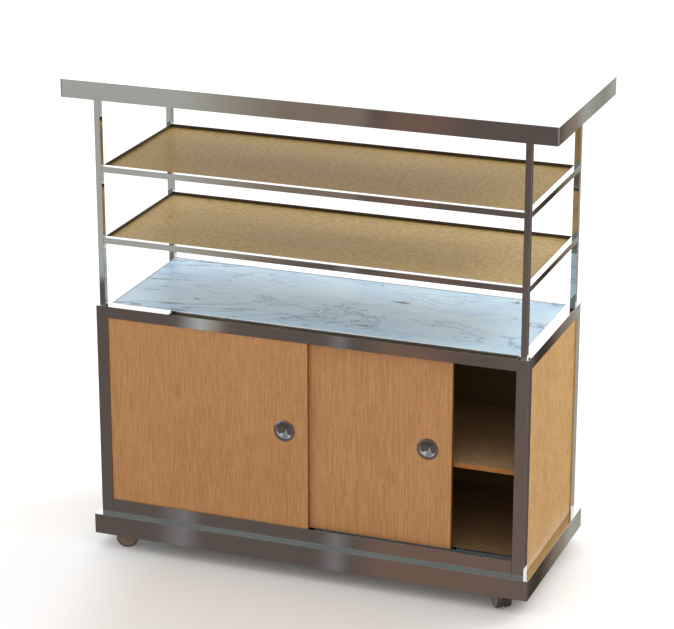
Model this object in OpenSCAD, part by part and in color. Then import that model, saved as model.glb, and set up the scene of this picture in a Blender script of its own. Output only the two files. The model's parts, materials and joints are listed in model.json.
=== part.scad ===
// Mobile bar: a steel-framed oak cabinet on castors, with a marble counter,
// two sliding doors, and an open two-shelf gantry that carries a steel bar top.
// Millimetres, +Z up, front towards -Y.
// The origin is on the floor under the middle of the cabinet.

/* [Cabinet] */
// Width of the cabinet over its corner tubes
body_w = 1500; // [1000:10:2400]
// Depth of the cabinet over its corner tubes
body_d = 600; // [460:10:900]
// Height of the cabinet above its skirt
body_h = 750; // [560:10:1000]
// Outside size of the square corner tubes and top rails
frame_s = 40; // [36:1:60]
// Wall of the frame tubes
frame_wall = 2; // [1:0.5:4]
// How far the side panels lie behind the frame's outer faces
side_recess = 5; // [1:0.5:12]
// How far the back panel lies behind the frame's outer face
back_recess = 5; // [1:0.5:12]
// Thickness of the side and back panels
carcass_t = 16; // [10:1:22]
// Gap left around a panel that sits inside the frame
panel_gap = 0.3; // [0.1:0.1:1]
// Gap left where two steel members are welded
weld_gap = 0.2; // [0.1:0.05:0.3]

/* [Skirt and chassis] */
// Height of the skirt around the castors
skirt_h = 70; // [50:1:90]
// How far the skirt stands out from the cabinet on every side
skirt_out = 20; // [10:1:50]
// Sheet thickness of the skirt
skirt_t = 1.5; // [1:0.25:3]
// Width of the skirt's top ledge, measured inwards from its outer face
ledge_w = 70; // [64:1:90]
// Height of the chassis tubes under the ledge
chassis_h = 25; // [20:1:40]
// Width of the two long chassis tubes
chassis_bar_w = 64; // [62:1:80]
// Width of the cross ties
chassis_tie_w = 40; // [30:1:60]
// Wall of the chassis tubes
chassis_wall = 2; // [1.5:0.5:4]

/* [Castors] */
// Overall height of a castor from the floor to the top of its plate
castor_h = 98.5; // [96:0.5:120]
// Diameter of the castor wheels
wheel_d = 75; // [60:1:76]
// Width of one of a castor's two wheels
wheel_w = 19.5; // [14:0.5:22]
// Thickness of the tyre
tyre_t = 4.5; // [3:0.5:8]
// Radius of the tyre's shoulders
tyre_round = 2.5; // [1:0.5:3]
// Fit between the tyre and the hub
tyre_fit = 0.05; // [0.02:0.01:0.1]
// Horizontal distance from the swivel axis to the axle
castor_trail = 24; // [18:1:26]
// Distance of the swivel axes from the cabinet's side faces
castor_inset_x = 95; // [80:1:150]
// Distance of the swivel axes from the cabinet's front and back faces
castor_inset_y = 50; // [50:1:60]
// Side length of the square castor plate
plate_s = 60; // [56:1:62]
// Thickness of the castor plate
plate_t = 3.5; // [2.5:0.5:5]
// Spacing of the plate's bolts
plate_bolts = 45; // [42:1:46]
// Radius of the castor bolts
castor_bolt_r = 3; // [2.5:0.5:3.5]
// Radius of the kingpin
kingpin_r = 6; // [5:0.5:8]
// Radial running clearance of the kingpin and of the axle
running_fit = 0.05; // [0.02:0.01:0.1]
// Radius of the axle
axle_r = 4; // [3:0.5:5]
// Thickness of the web between a castor's two wheels
web_t = 8; // [6:0.5:12]
// Gap between the web and each wheel
wheel_gap = 0.8; // [0.5:0.1:1.5]
// Gap between the wheels and the hood over them
hood_gap = 1.2; // [0.8:0.1:2]
// Thickness of the hood
hood_t = 3; // [2:0.5:4]

/* [Doors] */
// Thickness of each sliding door
door_t = 16; // [12:1:22]
// How far the outer door lies behind the frame's front face
door_recess = 4; // [3:0.5:8]
// Gap between the two doors
door_gap = 2; // [1.8:0.1:5]
// How far the doors overlap when both are closed
door_overlap = 4; // [2:1:60]
// Gap between a door and the corner tube it meets
door_end_gap = 0.5; // [0.3:0.1:3]
// How far the inner door is slid open at rest
door_open = 216; // [0:1:400]
// Height of the sill's track ribs above the bottom of the cabinet
sill_h = 55; // [48:1:80]
// Depth of the lower track
track_depth = 14; // [10:1:20]
// How far each door reaches below the tops of the track ribs
door_drop = 2; // [1:0.5:4]
// Height of the header above the opening
header_h = 40; // [36:1:60]
// How far each door reaches up into the header
door_rise = 8; // [5:1:12]
// Room left above the doors so that they can be lifted out
lift_room = 17; // [14:1:20]
// Wall of the header and sill sections
rail_wall = 1.6; // [1.2:0.1:2.5]
// Thickness of the rib between the two doors
mid_rib = 1.2; // [0.8:0.1:1.4]
// Gap between the inner door and the rib behind it
rib_gap = 0.4; // [0.3:0.1:1]
// Gap between each end of the sill and the corner tube
sill_end_gap = 1.2; // [0.2:0.1:2]
// Length of a door glide
glide_l = 40; // [20:1:80]
// Distance from a door's edge to the middle of its glide
glide_inset = 60; // [45:1:150]
// Gap on each side of a glide, measured from the door's faces
glide_side = 0.5; // [0.3:0.1:1]
// Gap between the glides and the floor of the track
glide_lift = 0.1; // [0.05:0.05:0.3]
// Radius of the peg that holds a glide in its door
glide_peg_r = 3; // [2:0.5:4]
// Length of that peg
glide_peg_l = 12; // [8:1:20]

/* [Finger pulls] */
// Outside diameter of the pull's rim
pull_d = 75; // [60:1:90]
// Width of the flat rim
pull_rim = 9; // [5:1:12]
// How far the rim stands proud of the door
pull_proud = 1; // [0.6:0.1:1.2]
// Depth of the cup
pull_depth = 11; // [6:0.5:11]
// Wall of the cup
pull_wall = 0.8; // [0.6:0.1:1.2]
// Radius between the cup's wall and its floor
pull_round = 7; // [3:0.5:10]
// Gap around the cup in its pocket
pull_fit = 0.3; // [0.1:0.1:0.5]
// Distance from the pull's centre to the door's right edge
pull_inset = 82; // [60:1:200]
// Height of the pull's centre above the bottom of the cabinet
pull_height = 394; // [200:1:450]

/* [Inside the cabinet] */
// Height of the cabinet floor's top above the bottom of the cabinet
floor_h = 50; // [40:1:55]
// Thickness of the cabinet floor
floor_t = 18; // [12:1:22]
// Number of bearers under the cabinet floor
bearer_count = 4; // [3:1:7]
// Width of a bearer
bearer_w = 30; // [20:1:40]
// Height of the shelf's top above the bottom of the cabinet
shelf_h = 350; // [250:1:420]
// Thickness of the shelf
shelf_t = 16; // [12:1:22]
// How far the shelf's front edge lies behind the inner door's track
shelf_setback = 8; // [4:1:60]
// Radius of a shelf peg
peg_r = 2.5; // [2:0.5:3]
// Length of a shelf peg
peg_l = 18; // [14:1:24]
// Depth of a peg's hole in the panel
peg_hole = 9; // [6:0.5:9.5]
// Distance from the shelf's front and back edges to the side pegs
peg_inset = 60; // [40:1:100]

/* [Counter] */
// Thickness of the marble
marble_t = 20; // [12:1:24]
// How far the marble lies below the top of the frame
marble_drop = 1.5; // [0.5:0.5:4]
// Gap between the marble and the frame
marble_gap = 0.5; // [0.3:0.1:2]
// Thickness of the board under the marble
counter_board_t = 12; // [6:1:12]
// Width of the flat bars that carry the board
counter_bar_w = 20; // [15:1:40]
// Thickness of those bars
counter_bar_t = 6; // [3:1:6]

/* [Gantry] */
// Height of the gantry between the counter and the bar top
gantry_h = 715; // [500:5:1000]
// Outside size of the gantry's square tubes
post_s = 20; // [16:1:30]
// Wall of those tubes
post_wall = 1.5; // [1:0.5:2.5]
// Length of the solid plug in the top of each post
post_plug = 16; // [14:1:30]
// Height of the lower shelf frame's underside above the counter frame
lower_shelf_h = 217; // [120:1:240]
// Height of the upper shelf frame's underside above the counter frame
upper_shelf_h = 461; // [300:1:480]
// Thickness of a gantry shelf's oak panel
shelf_panel_t = 7; // [4:0.5:10]
// Width of the lip that carries the panel
lip_w = 12; // [8:1:30]
// Thickness of that lip
lip_t = 2; // [1:0.5:3]
// Gap around the panel inside its frame
shelf_panel_gap = 0.5; // [0.2:0.1:2]

/* [Bar top] */
// Thickness of the bar top
top_t = 60; // [40:1:100]
// How far the bar top overhangs the cabinet at each end
top_over_x = 86; // [20:1:150]
// How far the bar top overhangs the cabinet at the front and back
top_over_y = 35; // [10:1:120]
// Radius of the bar top's upright corners
top_round = 5; // [4:1:40]
// Sheet thickness of the bar top's steel tray
tray_t = 1.5; // [1:0.25:3]
// Gap between the tray and the board in it
tray_gap = 0.3; // [0.1:0.1:1]
// Thickness of the board that closes the tray
top_board_t = 18; // [12:1:24]
// Number of ribs between the board and the tray
rib_count = 6; // [3:1:10]
// Width of a rib
rib_w = 30; // [20:1:50]
// Distance from the middle of the end ribs to the post's axis
rib_inset = 60; // [40:1:200]
// Radius of the bolts that hold the bar top on its posts
top_bolt_r = 4; // [3:0.5:4]
// How far those bolts reach into the posts
top_bolt_grip = 12; // [8:1:12]

/* [Hidden] */
$fn = 64;
// Small overlap that lets one cut run past a face
past = 1;
// Clearance of a fixed pin in its hole
pin_fit = 0.03;
// Clearance of a bolt in its hole
bolt_fit = 0.2;

STEEL = [0.66, 0.66, 0.67];
DARK_STEEL = [0.36, 0.35, 0.34];
OAK = [0.74, 0.56, 0.36];
PLY = [0.80, 0.70, 0.54];
MARBLE = [0.86, 0.88, 0.92];
NYLON = [0.15, 0.15, 0.16];
RUBBER = [0.10, 0.10, 0.10];

// Heights from the floor
body_z0 = castor_h + chassis_h + skirt_t;
body_z1 = body_z0 + body_h;
skirt_z0 = body_z0 - skirt_h;
header_z0 = body_z1 - header_h;
post_z1 = body_z1 + gantry_h;
top_z1 = post_z1 + top_t;
sill_z1 = body_z0 + sill_h;
track_z = sill_z1 - track_depth;

// Half sizes of the cabinet and of the opening between its corner tubes
hw = body_w / 2;
hd = body_d / 2;
open_x = hw - frame_s;
open_y = hd - frame_s;
inside_x = hw - side_recess - carcass_t;
inside_y = hd - back_recess - carcass_t;
post_x = hw - frame_s / 2;
post_y = hd - frame_s / 2;

// The doors' places across the track, measured back from the front face
outer_y = door_recess;
inner_y = outer_y + door_t + door_gap;
track_d = inner_y + door_t + rib_gap + rail_wall;
slot_1 = [rail_wall, outer_y + door_t + (door_gap - mid_rib) / 2];
slot_2 = [slot_1[1] + mid_rib, track_d - rail_wall];
track_back = -hd + track_d;

door_w = open_x + door_overlap / 2 - door_end_gap / 2;
door_z0 = sill_z1 - door_drop;
door_z1 = header_z0 + door_rise;
left_door_x = -open_x + door_end_gap;
right_door_x = open_x - door_end_gap - door_w - door_open;
pull_z = body_z0 + pull_height;
cup_r = pull_d / 2 - pull_rim;

shelf_z1 = body_z0 + shelf_h;
shelf_z0 = shelf_z1 - shelf_t;
shelf_y0 = track_back + shelf_setback;

chassis_z0 = body_z0 - skirt_t - chassis_h;
castor_x = hw - castor_inset_x;
castor_y = hd - castor_inset_y;
wheel_r = wheel_d / 2;
hub_r = wheel_r - tyre_t;
plate_z0 = castor_h - plate_t;
// The ring under the castor plate that the kingpin turns in
boss_h = 8.7;
boss_r = kingpin_r + 12;
// Play between that ring and the swivel head
head_gap = 0.3;
head_t = 7;
head_r = 22;
head_z1 = plate_z0 - boss_h - head_gap;
head_z0 = head_z1 - head_t;
wheel_x0 = web_t / 2 + wheel_gap;
hub_wall = 2.5;
bolt_head_h = 4;
bolt_head_r = 5;
top_bolt_head_r = 6.5;
// How far the hood's lower edge lies above the axle
hood_lift = 10;
// How far the castor bolts reach into the chassis tube
bolt_grip = 10;

// Each castor's side, end and angle, as it happens to stand
CASTORS = [[-1, -1, -65], [1, -1, 35], [-1, 1, -150], [1, 1, 130]];

// A block given by its lowest and highest corners
module block(low, high) {
    translate(low) cube(high - low);
}

// Extrudes a section drawn in (y, z) along X, centred on the middle
module along_x(length) {
    rotate([90, 0, 90]) linear_extrude(length, center = true) children();
}

// A section's rectangle between two corners
module patch(low, high) {
    translate(low) square(high - low);
}

// A rectangle with round corners, centred on the origin
module round_rect(size, r) {
    union() {
        square([size[0] - 2 * r, size[1]], center = true);
        square([size[0], size[1] - 2 * r], center = true);
        for (sx = [-1, 1], sy = [-1, 1])
            translate([sx * (size[0] / 2 - r), sy * (size[1] / 2 - r)])
                circle(r);
    }
}

// A square tube along Z whose top end is closed by a cap
module upright(s, wall, z0, z1, cap) {
    difference() {
        translate([-s / 2, -s / 2, z0]) cube([s, s, z1 - z0]);
        translate([-s / 2 + wall, -s / 2 + wall, z0 - past])
            cube([s - 2 * wall, s - 2 * wall, z1 - z0 - cap + past]);
    }
}

// A rectangular tube between two corners, open at both ends along X
module tube_x(low, high, wall) {
    difference() {
        block(low, high);
        block(
            [low[0] - past, low[1] + wall, low[2] + wall],
            [high[0] + past, high[1] - wall, high[2] - wall]
        );
    }
}

// A rectangular tube between two corners, open at both ends along Y
module tube_y(low, high, wall) {
    difference() {
        block(low, high);
        block(
            [low[0] + wall, low[1] - past, low[2] + wall],
            [high[0] - wall, high[1] + past, high[2] - wall]
        );
    }
}

// Corner tube of the cabinet
module stile(side, end) {
    color(STEEL)
        translate([side * post_x, end * post_y])
            upright(frame_s, frame_wall, body_z0, body_z1, frame_wall);
}

// Top front rail, with two channels below that guide the doors' top edges
module header_rail() {
    ceiling = header_z0 + door_rise + lift_room;
    color(STEEL)
        along_x(2 * open_x)
            translate([-hd, 0])
                difference() {
                    patch([0, header_z0], [track_d, body_z1]);
                    patch([slot_1[0], header_z0 - past], [slot_1[1], ceiling]);
                    patch([slot_2[0], header_z0 - past], [slot_2[1], ceiling]);
                    patch(
                        [rail_wall, ceiling + rail_wall],
                        [track_d - rail_wall, body_z1 - rail_wall]
                    );
                }
}

// Bottom front rail, with the two channels that the doors run in
module sill_rail() {
    color(STEEL)
        along_x(2 * (open_x - sill_end_gap))
            translate([-hd, 0])
                difference() {
                    patch([0, body_z0], [track_d, sill_z1]);
                    patch([slot_1[0], track_z], [slot_1[1], sill_z1 + past]);
                    patch([slot_2[0], track_z], [slot_2[1], sill_z1 + past]);
                    patch(
                        [rail_wall, body_z0 + rail_wall],
                        [track_d - rail_wall, track_z - rail_wall]
                    );
                }
}

// Top rail across the back
module back_top_rail() {
    color(STEEL)
        tube_x(
            [-open_x, open_y, body_z1 - frame_s],
            [open_x, hd, body_z1],
            frame_wall
        );
}

// Top rail at one end of the cabinet
module side_top_rail(side) {
    x = side * post_x;
    color(STEEL)
        tube_y(
            [x - frame_s / 2, -open_y, body_z1 - frame_s],
            [x + frame_s / 2, open_y, body_z1],
            frame_wall
        );
}

// Oak panel at one end, drilled on its inner face for the shelf pegs
module side_panel(side) {
    x0 = min(side * inside_x, side * (inside_x + carcass_t));
    color(OAK)
        difference() {
            block(
                [x0, -open_y + panel_gap, body_z0],
                [x0 + carcass_t, open_y - panel_gap, body_z1 - frame_s - panel_gap]
            );
            for (y = side_peg_y())
                translate([side * inside_x, y, peg_z()])
                    rotate([0, side * 90, 0])
                        translate([0, 0, -past])
                            cylinder(h = peg_hole + past, r = peg_r + pin_fit);
        }
}

// Oak panel across the back, drilled for the shelf pegs
module back_panel() {
    color(OAK)
        difference() {
            block(
                [-open_x + panel_gap, inside_y, body_z0],
                [open_x - panel_gap, inside_y + carcass_t, body_z1 - frame_s - panel_gap]
            );
            for (x = back_peg_x())
                translate([x, inside_y, peg_z()])
                    rotate([-90, 0, 0])
                        translate([0, 0, -past])
                            cylinder(h = peg_hole + past, r = peg_r + pin_fit);
        }
}

// A board inside the cabinet, notched round the back corner tubes
module carcass_board(y0, z0, z1) {
    x1 = inside_x - panel_gap;
    difference() {
        block([-x1, y0, z0], [x1, inside_y - panel_gap, z1]);
        for (side = [-1, 1])
            translate([side * post_x, post_y, (z0 + z1) / 2])
                cube(
                    [frame_s + 2 * panel_gap, frame_s + 2 * panel_gap, z1 - z0 + past],
                    center = true
                );
    }
}

// Bottom board of the cabinet
module cabinet_floor() {
    floor_z1 = body_z0 + floor_h;
    color(OAK) carcass_board(track_back + panel_gap, floor_z1 - floor_t, floor_z1);
}

// Battens that lift the cabinet floor off the skirt's ledge
module floor_bearers() {
    reach = inside_x - weld_gap - bearer_w / 2;
    color(PLY)
        for (i = [0:bearer_count - 1])
            translate([-reach + 2 * reach * i / (bearer_count - 1), 0])
                block(
                    [-bearer_w / 2, track_back + weld_gap, body_z0],
                    [bearer_w / 2, open_y - weld_gap, body_z0 + floor_h - floor_t]
                );
}

// Shelf halfway up the cabinet
module inner_shelf() {
    color(OAK) carcass_board(shelf_y0, shelf_z0, shelf_z1);
}

function peg_z() = shelf_z0 - peg_r;
function side_peg_y() = [shelf_y0 + peg_inset, open_y - peg_inset];
function back_peg_x() = [-inside_x / 2, 0, inside_x / 2];

// Pins that carry the shelf, in the side panels and the back panel
module shelf_pegs() {
    rest = peg_hole - past;
    color(STEEL) {
        for (side = [-1, 1], y = side_peg_y())
            translate([side * (inside_x + rest), y, peg_z()])
                rotate([0, -side * 90, 0])
                    cylinder(h = peg_l, r = peg_r);
        for (x = back_peg_x())
            translate([x, inside_y + rest, peg_z()])
                rotate([90, 0, 0])
                    cylinder(h = peg_l, r = peg_r);
    }
}

// Flat bars round the inside of the top frame that carry the counter
module counter_bars() {
    z1 = body_z1 - marble_drop - marble_t - counter_board_t;
    z0 = z1 - counter_bar_t;
    color(DARK_STEEL) {
        block([-open_x, track_back, z0], [open_x, track_back + counter_bar_w, z1]);
        block([-open_x, open_y - counter_bar_w, z0], [open_x, open_y, z1]);
        for (side = [-1, 1]) {
            x = side * (open_x - counter_bar_w / 2);
            block(
                [x - counter_bar_w / 2, track_back + counter_bar_w + weld_gap, z0],
                [x + counter_bar_w / 2, open_y - counter_bar_w - weld_gap, z1]
            );
        }
    }
}

// A slab that fills the top frame between two heights below its top
module counter_slab(depth_0, depth_1) {
    block(
        [-open_x + marble_gap, track_back + marble_gap, body_z1 - depth_1],
        [open_x - marble_gap, open_y - marble_gap, body_z1 - depth_0]
    );
}

// Board under the marble
module counter_board() {
    depth = marble_drop + marble_t;
    color(PLY) counter_slab(depth, depth + counter_board_t);
}

// Marble worktop
module marble_counter() {
    color(MARBLE) counter_slab(marble_drop, marble_drop + marble_t);
}

// One mitred length of the skirt: an upright sheet with a ledge on top,
// facing -Y, for a skirt of the given half length at the given distance
module skirt(half, away) {
    color(STEEL)
        intersection() {
            along_x(2 * half)
                union() {
                    patch([-away, skirt_z0], [-away + skirt_t, body_z0]);
                    patch([-away, body_z0 - skirt_t], [-away + ledge_w, body_z0]);
                }
            translate([0, 0, skirt_z0 - past])
                linear_extrude(skirt_h + 2 * past)
                    polygon([
                        [-half, -away],
                        [half, -away],
                        [half - ledge_w, -away + ledge_w],
                        [-half + ledge_w, -away + ledge_w]
                    ]);
        }
}

// Skirt at the front, or at the back when turned half round
module long_skirt(turn) {
    rotate([0, 0, turn]) skirt(hw + skirt_out, hd + skirt_out);
}

// Skirt at one end
module end_skirt(turn) {
    rotate([0, 0, turn]) skirt(hd + skirt_out, hw + skirt_out);
}

// Welded ladder of tubes under the ledge that carries the castors
module chassis_frame() {
    x1 = hw + skirt_out - skirt_t - weld_gap;
    z0 = chassis_z0;
    z1 = chassis_z0 + chassis_h;
    color(DARK_STEEL)
        difference() {
            union() {
                for (end = [-1, 1])
                    tube_x(
                        [-x1, end * castor_y - chassis_bar_w / 2, z0],
                        [x1, end * castor_y + chassis_bar_w / 2, z1],
                        chassis_wall
                    );
                for (x = [-castor_x, 0, castor_x])
                    tube_y(
                        [x - chassis_tie_w / 2, -castor_y + chassis_bar_w / 2, z0],
                        [x + chassis_tie_w / 2, castor_y - chassis_bar_w / 2, z1],
                        chassis_wall
                    );
            }
            for (i = [0:3])
                at_castor_bolts(i)
                    translate([0, 0, z0 - past])
                        cylinder(h = chassis_wall + 2 * past, r = castor_bolt_r + bolt_fit);
        }
}

// Moves children to one castor's swivel axis
module at_castor(i) {
    translate([CASTORS[i][0] * castor_x, CASTORS[i][1] * castor_y]) children();
}

// Moves children to one castor's swivel axis and turns them as it stands
module turned_castor(i) {
    at_castor(i) rotate([0, 0, CASTORS[i][2]]) children();
}

// Repeats children at the bolts of one castor
module at_castor_bolts(i) {
    at_castor(i)
        for (sx = [-1, 1], sy = [-1, 1])
            translate([sx * plate_bolts / 2, sy * plate_bolts / 2]) children();
}

// Fixed plates of the castors, each with the ring its kingpin turns in
module castor_plates() {
    color(DARK_STEEL)
        for (i = [0:3])
            difference() {
                at_castor(i) {
                    translate([-plate_s / 2, -plate_s / 2, plate_z0])
                        cube([plate_s, plate_s, plate_t]);
                    translate([0, 0, plate_z0 - boss_h])
                        cylinder(h = boss_h + plate_t / 2, r = boss_r);
                }
                at_castor(i)
                    translate([0, 0, plate_z0 - boss_h - past])
                        cylinder(h = boss_h + plate_t + 2 * past, r = kingpin_r + running_fit);
                at_castor_bolts(i)
                    translate([0, 0, plate_z0 - past])
                        cylinder(h = plate_t + 2 * past, r = castor_bolt_r + bolt_fit);
            }
}

// Bolts that hold the castor plates to the chassis
module castor_bolts() {
    color(STEEL)
        for (i = [0:3])
            at_castor_bolts(i) {
                translate([0, 0, plate_z0 - bolt_head_h])
                    cylinder(h = bolt_head_h, r = bolt_head_r, $fn = 6);
                translate([0, 0, plate_z0 - bolt_head_h / 2])
                    cylinder(h = bolt_head_h / 2 + plate_t + bolt_grip, r = castor_bolt_r);
            }
}

// Turning part of a castor: kingpin, swivel head, hood and the web between
// its wheels
module castor_housing(i) {
    hood_r = wheel_r + hood_gap + hood_t;
    hood_w = 2 * (wheel_x0 + wheel_w);
    hood_z0 = wheel_r + hood_lift;
    color(NYLON)
        turned_castor(i)
            difference() {
                union() {
                    translate([0, 0, head_z1 - past])
                        cylinder(h = castor_h - head_z1, r = kingpin_r);
                    translate([0, 0, head_z0])
                        cylinder(h = head_t, r = head_r);
                    difference() {
                        union() {
                            translate([0, -castor_trail, wheel_r])
                                rotate([0, 90, 0])
                                    cylinder(h = hood_w, r = hood_r, center = true);
                            block(
                                [-head_r, -castor_trail, wheel_r],
                                [head_r, head_r / 2, head_z0 + past]
                            );
                        }
                        translate([0, -castor_trail, wheel_r])
                            rotate([0, 90, 0])
                                cylinder(
                                    h = hood_w + 2 * past,
                                    r = wheel_r + hood_gap,
                                    center = true
                                );
                        block(
                            [-hood_w, -castor_trail - 2 * hood_r, wheel_r - 2 * hood_r],
                            [hood_w, -castor_trail + 2 * hood_r, hood_z0]
                        );
                    }
                    along_x(web_t)
                        union() {
                            translate([-castor_trail, wheel_r]) circle(3 * axle_r);
                            polygon([
                                [-castor_trail - 3 * axle_r, wheel_r],
                                [-castor_trail + 3 * axle_r, wheel_r],
                                [head_r / 2, head_z0 + past],
                                [-castor_trail, head_z0 + past]
                            ]);
                        }
                }
                translate([0, -castor_trail, wheel_r])
                    rotate([0, 90, 0])
                        cylinder(h = web_t + 2 * past, r = axle_r + pin_fit, center = true);
            }
}

// Axle through the web that both wheels turn on
module castor_axle(i) {
    reach = wheel_x0 + wheel_w - hub_wall - past;
    color(STEEL)
        turned_castor(i)
            translate([0, -castor_trail, wheel_r])
                rotate([0, 90, 0])
                    cylinder(h = 2 * reach, r = axle_r, center = true);
}

// One wheel: a hub with a blind bore, and a tyre with round shoulders
module castor_wheel(i, side) {
    inner = hub_r + tyre_fit;
    color(RUBBER)
        turned_castor(i)
            translate([side * wheel_x0, -castor_trail, wheel_r])
                rotate([0, side * 90, 0]) {
                    difference() {
                        cylinder(h = wheel_w, r = hub_r);
                        translate([0, 0, -past])
                            cylinder(
                                h = wheel_w - hub_wall + past,
                                r = axle_r + running_fit
                            );
                    }
                    rotate_extrude()
                        intersection() {
                            patch([inner, 0], [wheel_r, wheel_w]);
                            union() {
                                patch([inner, 0], [wheel_r - tyre_round, wheel_w]);
                                patch([inner, tyre_round], [wheel_r, wheel_w - tyre_round]);
                                for (z = [tyre_round, wheel_w - tyre_round])
                                    translate([wheel_r - tyre_round, z]) circle(tyre_round);
                            }
                        }
                }
}

// Sliding door from its left edge and its distance behind the front face
module door(x0, y0) {
    color(OAK)
        difference() {
            block(
                [x0, -hd + y0, door_z0],
                [x0 + door_w, -hd + y0 + door_t, door_z1]
            );
            translate([x0 + door_w - pull_inset, -hd + y0, pull_z])
                rotate([-90, 0, 0])
                    translate([0, 0, -past])
                        cylinder(h = pull_depth + pull_fit + past, r = cup_r + pull_fit);
            for (x = glide_x(x0))
                translate([x, -hd + y0 + door_t / 2, door_z0 - past])
                    cylinder(h = glide_peg_l + pull_fit + past, r = glide_peg_r + pin_fit);
        }
}

function glide_x(x0) = [x0 + glide_inset, x0 + door_w - glide_inset];

// Outline of half a cup from its axis, from its floor up to an open top
module cup_half(r, depth, corner, top) {
    intersection() {
        patch([0, -depth], [r, top]);
        union() {
            patch([0, -depth + corner], [r, top]);
            patch([0, -depth], [r - corner, top]);
            translate([r - corner, -depth + corner]) circle(corner);
        }
    }
}

// Round finger pull: a flat rim on the door and a cup let into it
module pull(x0, y0) {
    color(STEEL)
        translate([x0 + door_w - pull_inset, -hd + y0, pull_z])
            rotate([90, 0, 0])
                rotate_extrude()
                    difference() {
                        union() {
                            cup_half(cup_r, pull_depth, pull_round, pull_proud);
                            patch([0, 0], [pull_d / 2, pull_proud]);
                        }
                        cup_half(
                            cup_r - pull_wall,
                            pull_depth - pull_wall,
                            pull_round - pull_wall,
                            pull_proud + past
                        );
                    }
}

// Glides pegged into a door's bottom edge, which run in the lower track
module door_glides(x0, y0) {
    color(NYLON)
        for (x = glide_x(x0))
            translate([x, -hd + y0 + door_t / 2, 0])
                union() {
                    block(
                        [-glide_l / 2, -door_t / 2 + glide_side, track_z + glide_lift],
                        [glide_l / 2, door_t / 2 - glide_side, door_z0]
                    );
                    translate([0, 0, door_z0 - past])
                        cylinder(h = glide_peg_l + past, r = glide_peg_r);
                }
}

// Upright of the gantry, with a plug in its top that takes a bolt
module post(side, end) {
    color(STEEL)
        translate([side * post_x, end * post_y])
            difference() {
                upright(post_s, post_wall, body_z1, post_z1, post_plug);
                translate([0, 0, post_z1 - top_bolt_grip - past])
                    cylinder(h = top_bolt_grip + 2 * past, r = top_bolt_r + pin_fit);
            }
}

// Welded frame of one gantry shelf, with a lip inside that carries its panel
module gantry_frame(height) {
    z0 = body_z1 + height;
    z1 = z0 + post_s;
    in_x = post_x - post_s / 2;
    in_y = post_y - post_s / 2;
    color(STEEL)
        union() {
            for (end = [-1, 1])
                tube_x(
                    [-in_x + weld_gap, end * post_y - post_s / 2, z0],
                    [in_x - weld_gap, end * post_y + post_s / 2, z1],
                    post_wall
                );
            for (side = [-1, 1])
                tube_y(
                    [side * post_x - post_s / 2, -in_y + weld_gap, z0],
                    [side * post_x + post_s / 2, in_y - weld_gap, z1],
                    post_wall
                );
            difference() {
                block([-in_x, -in_y, z0], [in_x, in_y, z0 + lip_t]);
                block(
                    [-in_x + lip_w, -in_y + lip_w, z0 - past],
                    [in_x - lip_w, in_y - lip_w, z0 + lip_t + past]
                );
            }
        }
}

// Oak panel that lies on the lip of a gantry shelf's frame
module gantry_panel(height) {
    z0 = body_z1 + height + lip_t;
    x1 = post_x - post_s / 2 - shelf_panel_gap;
    y1 = post_y - post_s / 2 - shelf_panel_gap;
    color(OAK) block([-x1, -y1, z0], [x1, y1, z0 + shelf_panel_t]);
}

// Steel tray that forms the top and the edge of the bar top
module bar_top_tray() {
    size = [body_w + 2 * top_over_x, body_d + 2 * top_over_y];
    hollow = size - [2 * tray_t, 2 * tray_t];
    color(STEEL)
        difference() {
            translate([0, 0, post_z1]) linear_extrude(top_t) round_rect(size, top_round);
            translate([0, 0, post_z1 - past])
                linear_extrude(top_t - tray_t + past)
                    round_rect(hollow, top_round - tray_t);
        }
}

// Board that closes the tray from below and sits on the posts
module bar_top_board() {
    inset = tray_t + tray_gap;
    size = [body_w + 2 * (top_over_x - inset), body_d + 2 * (top_over_y - inset)];
    color(PLY)
        difference() {
            translate([0, 0, post_z1])
                linear_extrude(top_board_t)
                    round_rect(size, top_round - inset);
            for (sx = [-1, 1], sy = [-1, 1])
                translate([sx * post_x, sy * post_y, post_z1 - past])
                    cylinder(h = top_board_t + 2 * past, r = top_bolt_r + bolt_fit);
        }
}

// Ribs that carry the tray's top above the board
module bar_top_ribs() {
    reach = post_x - rib_inset;
    y1 = hd + top_over_y - tray_t - tray_gap;
    color(PLY)
        for (i = [0:rib_count - 1])
            translate([-reach + 2 * reach * i / (rib_count - 1), 0])
                block(
                    [-rib_w / 2, -y1, post_z1 + top_board_t],
                    [rib_w / 2, y1, top_z1 - tray_t]
                );
}

// Bolts through the board into the posts
module bar_top_bolts() {
    z0 = post_z1 + top_board_t;
    color(DARK_STEEL)
        for (sx = [-1, 1], sy = [-1, 1])
            translate([sx * post_x, sy * post_y, 0]) {
                translate([0, 0, z0])
                    cylinder(h = bolt_head_h, r = top_bolt_head_r, $fn = 6);
                translate([0, 0, post_z1 - top_bolt_grip])
                    cylinder(h = top_bolt_grip + top_board_t + past, r = top_bolt_r);
            }
}

stile(-1, -1);  // stile_front_left
stile(1, -1);  // stile_front_right
stile(-1, 1);  // stile_back_left
stile(1, 1);  // stile_back_right
header_rail();
sill_rail();
back_top_rail();
side_top_rail(-1);  // side_top_rail_left
side_top_rail(1);  // side_top_rail_right
side_panel(-1);  // side_panel_left
side_panel(1);  // side_panel_right
back_panel();
cabinet_floor();
floor_bearers();
inner_shelf();
shelf_pegs();
counter_bars();
counter_board();
marble_counter();
long_skirt(0);  // skirt_front
long_skirt(180);  // skirt_back
end_skirt(-90);  // skirt_left
end_skirt(90);  // skirt_right
chassis_frame();
castor_plates();
castor_bolts();
door(left_door_x, outer_y);  // door_left
door(right_door_x, inner_y);  // door_right
pull(left_door_x, outer_y);  // pull_left
pull(right_door_x, inner_y);  // pull_right
door_glides(left_door_x, outer_y);  // door_left_glides
door_glides(right_door_x, inner_y);  // door_right_glides
post(-1, -1);  // post_front_left
post(1, -1);  // post_front_right
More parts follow.
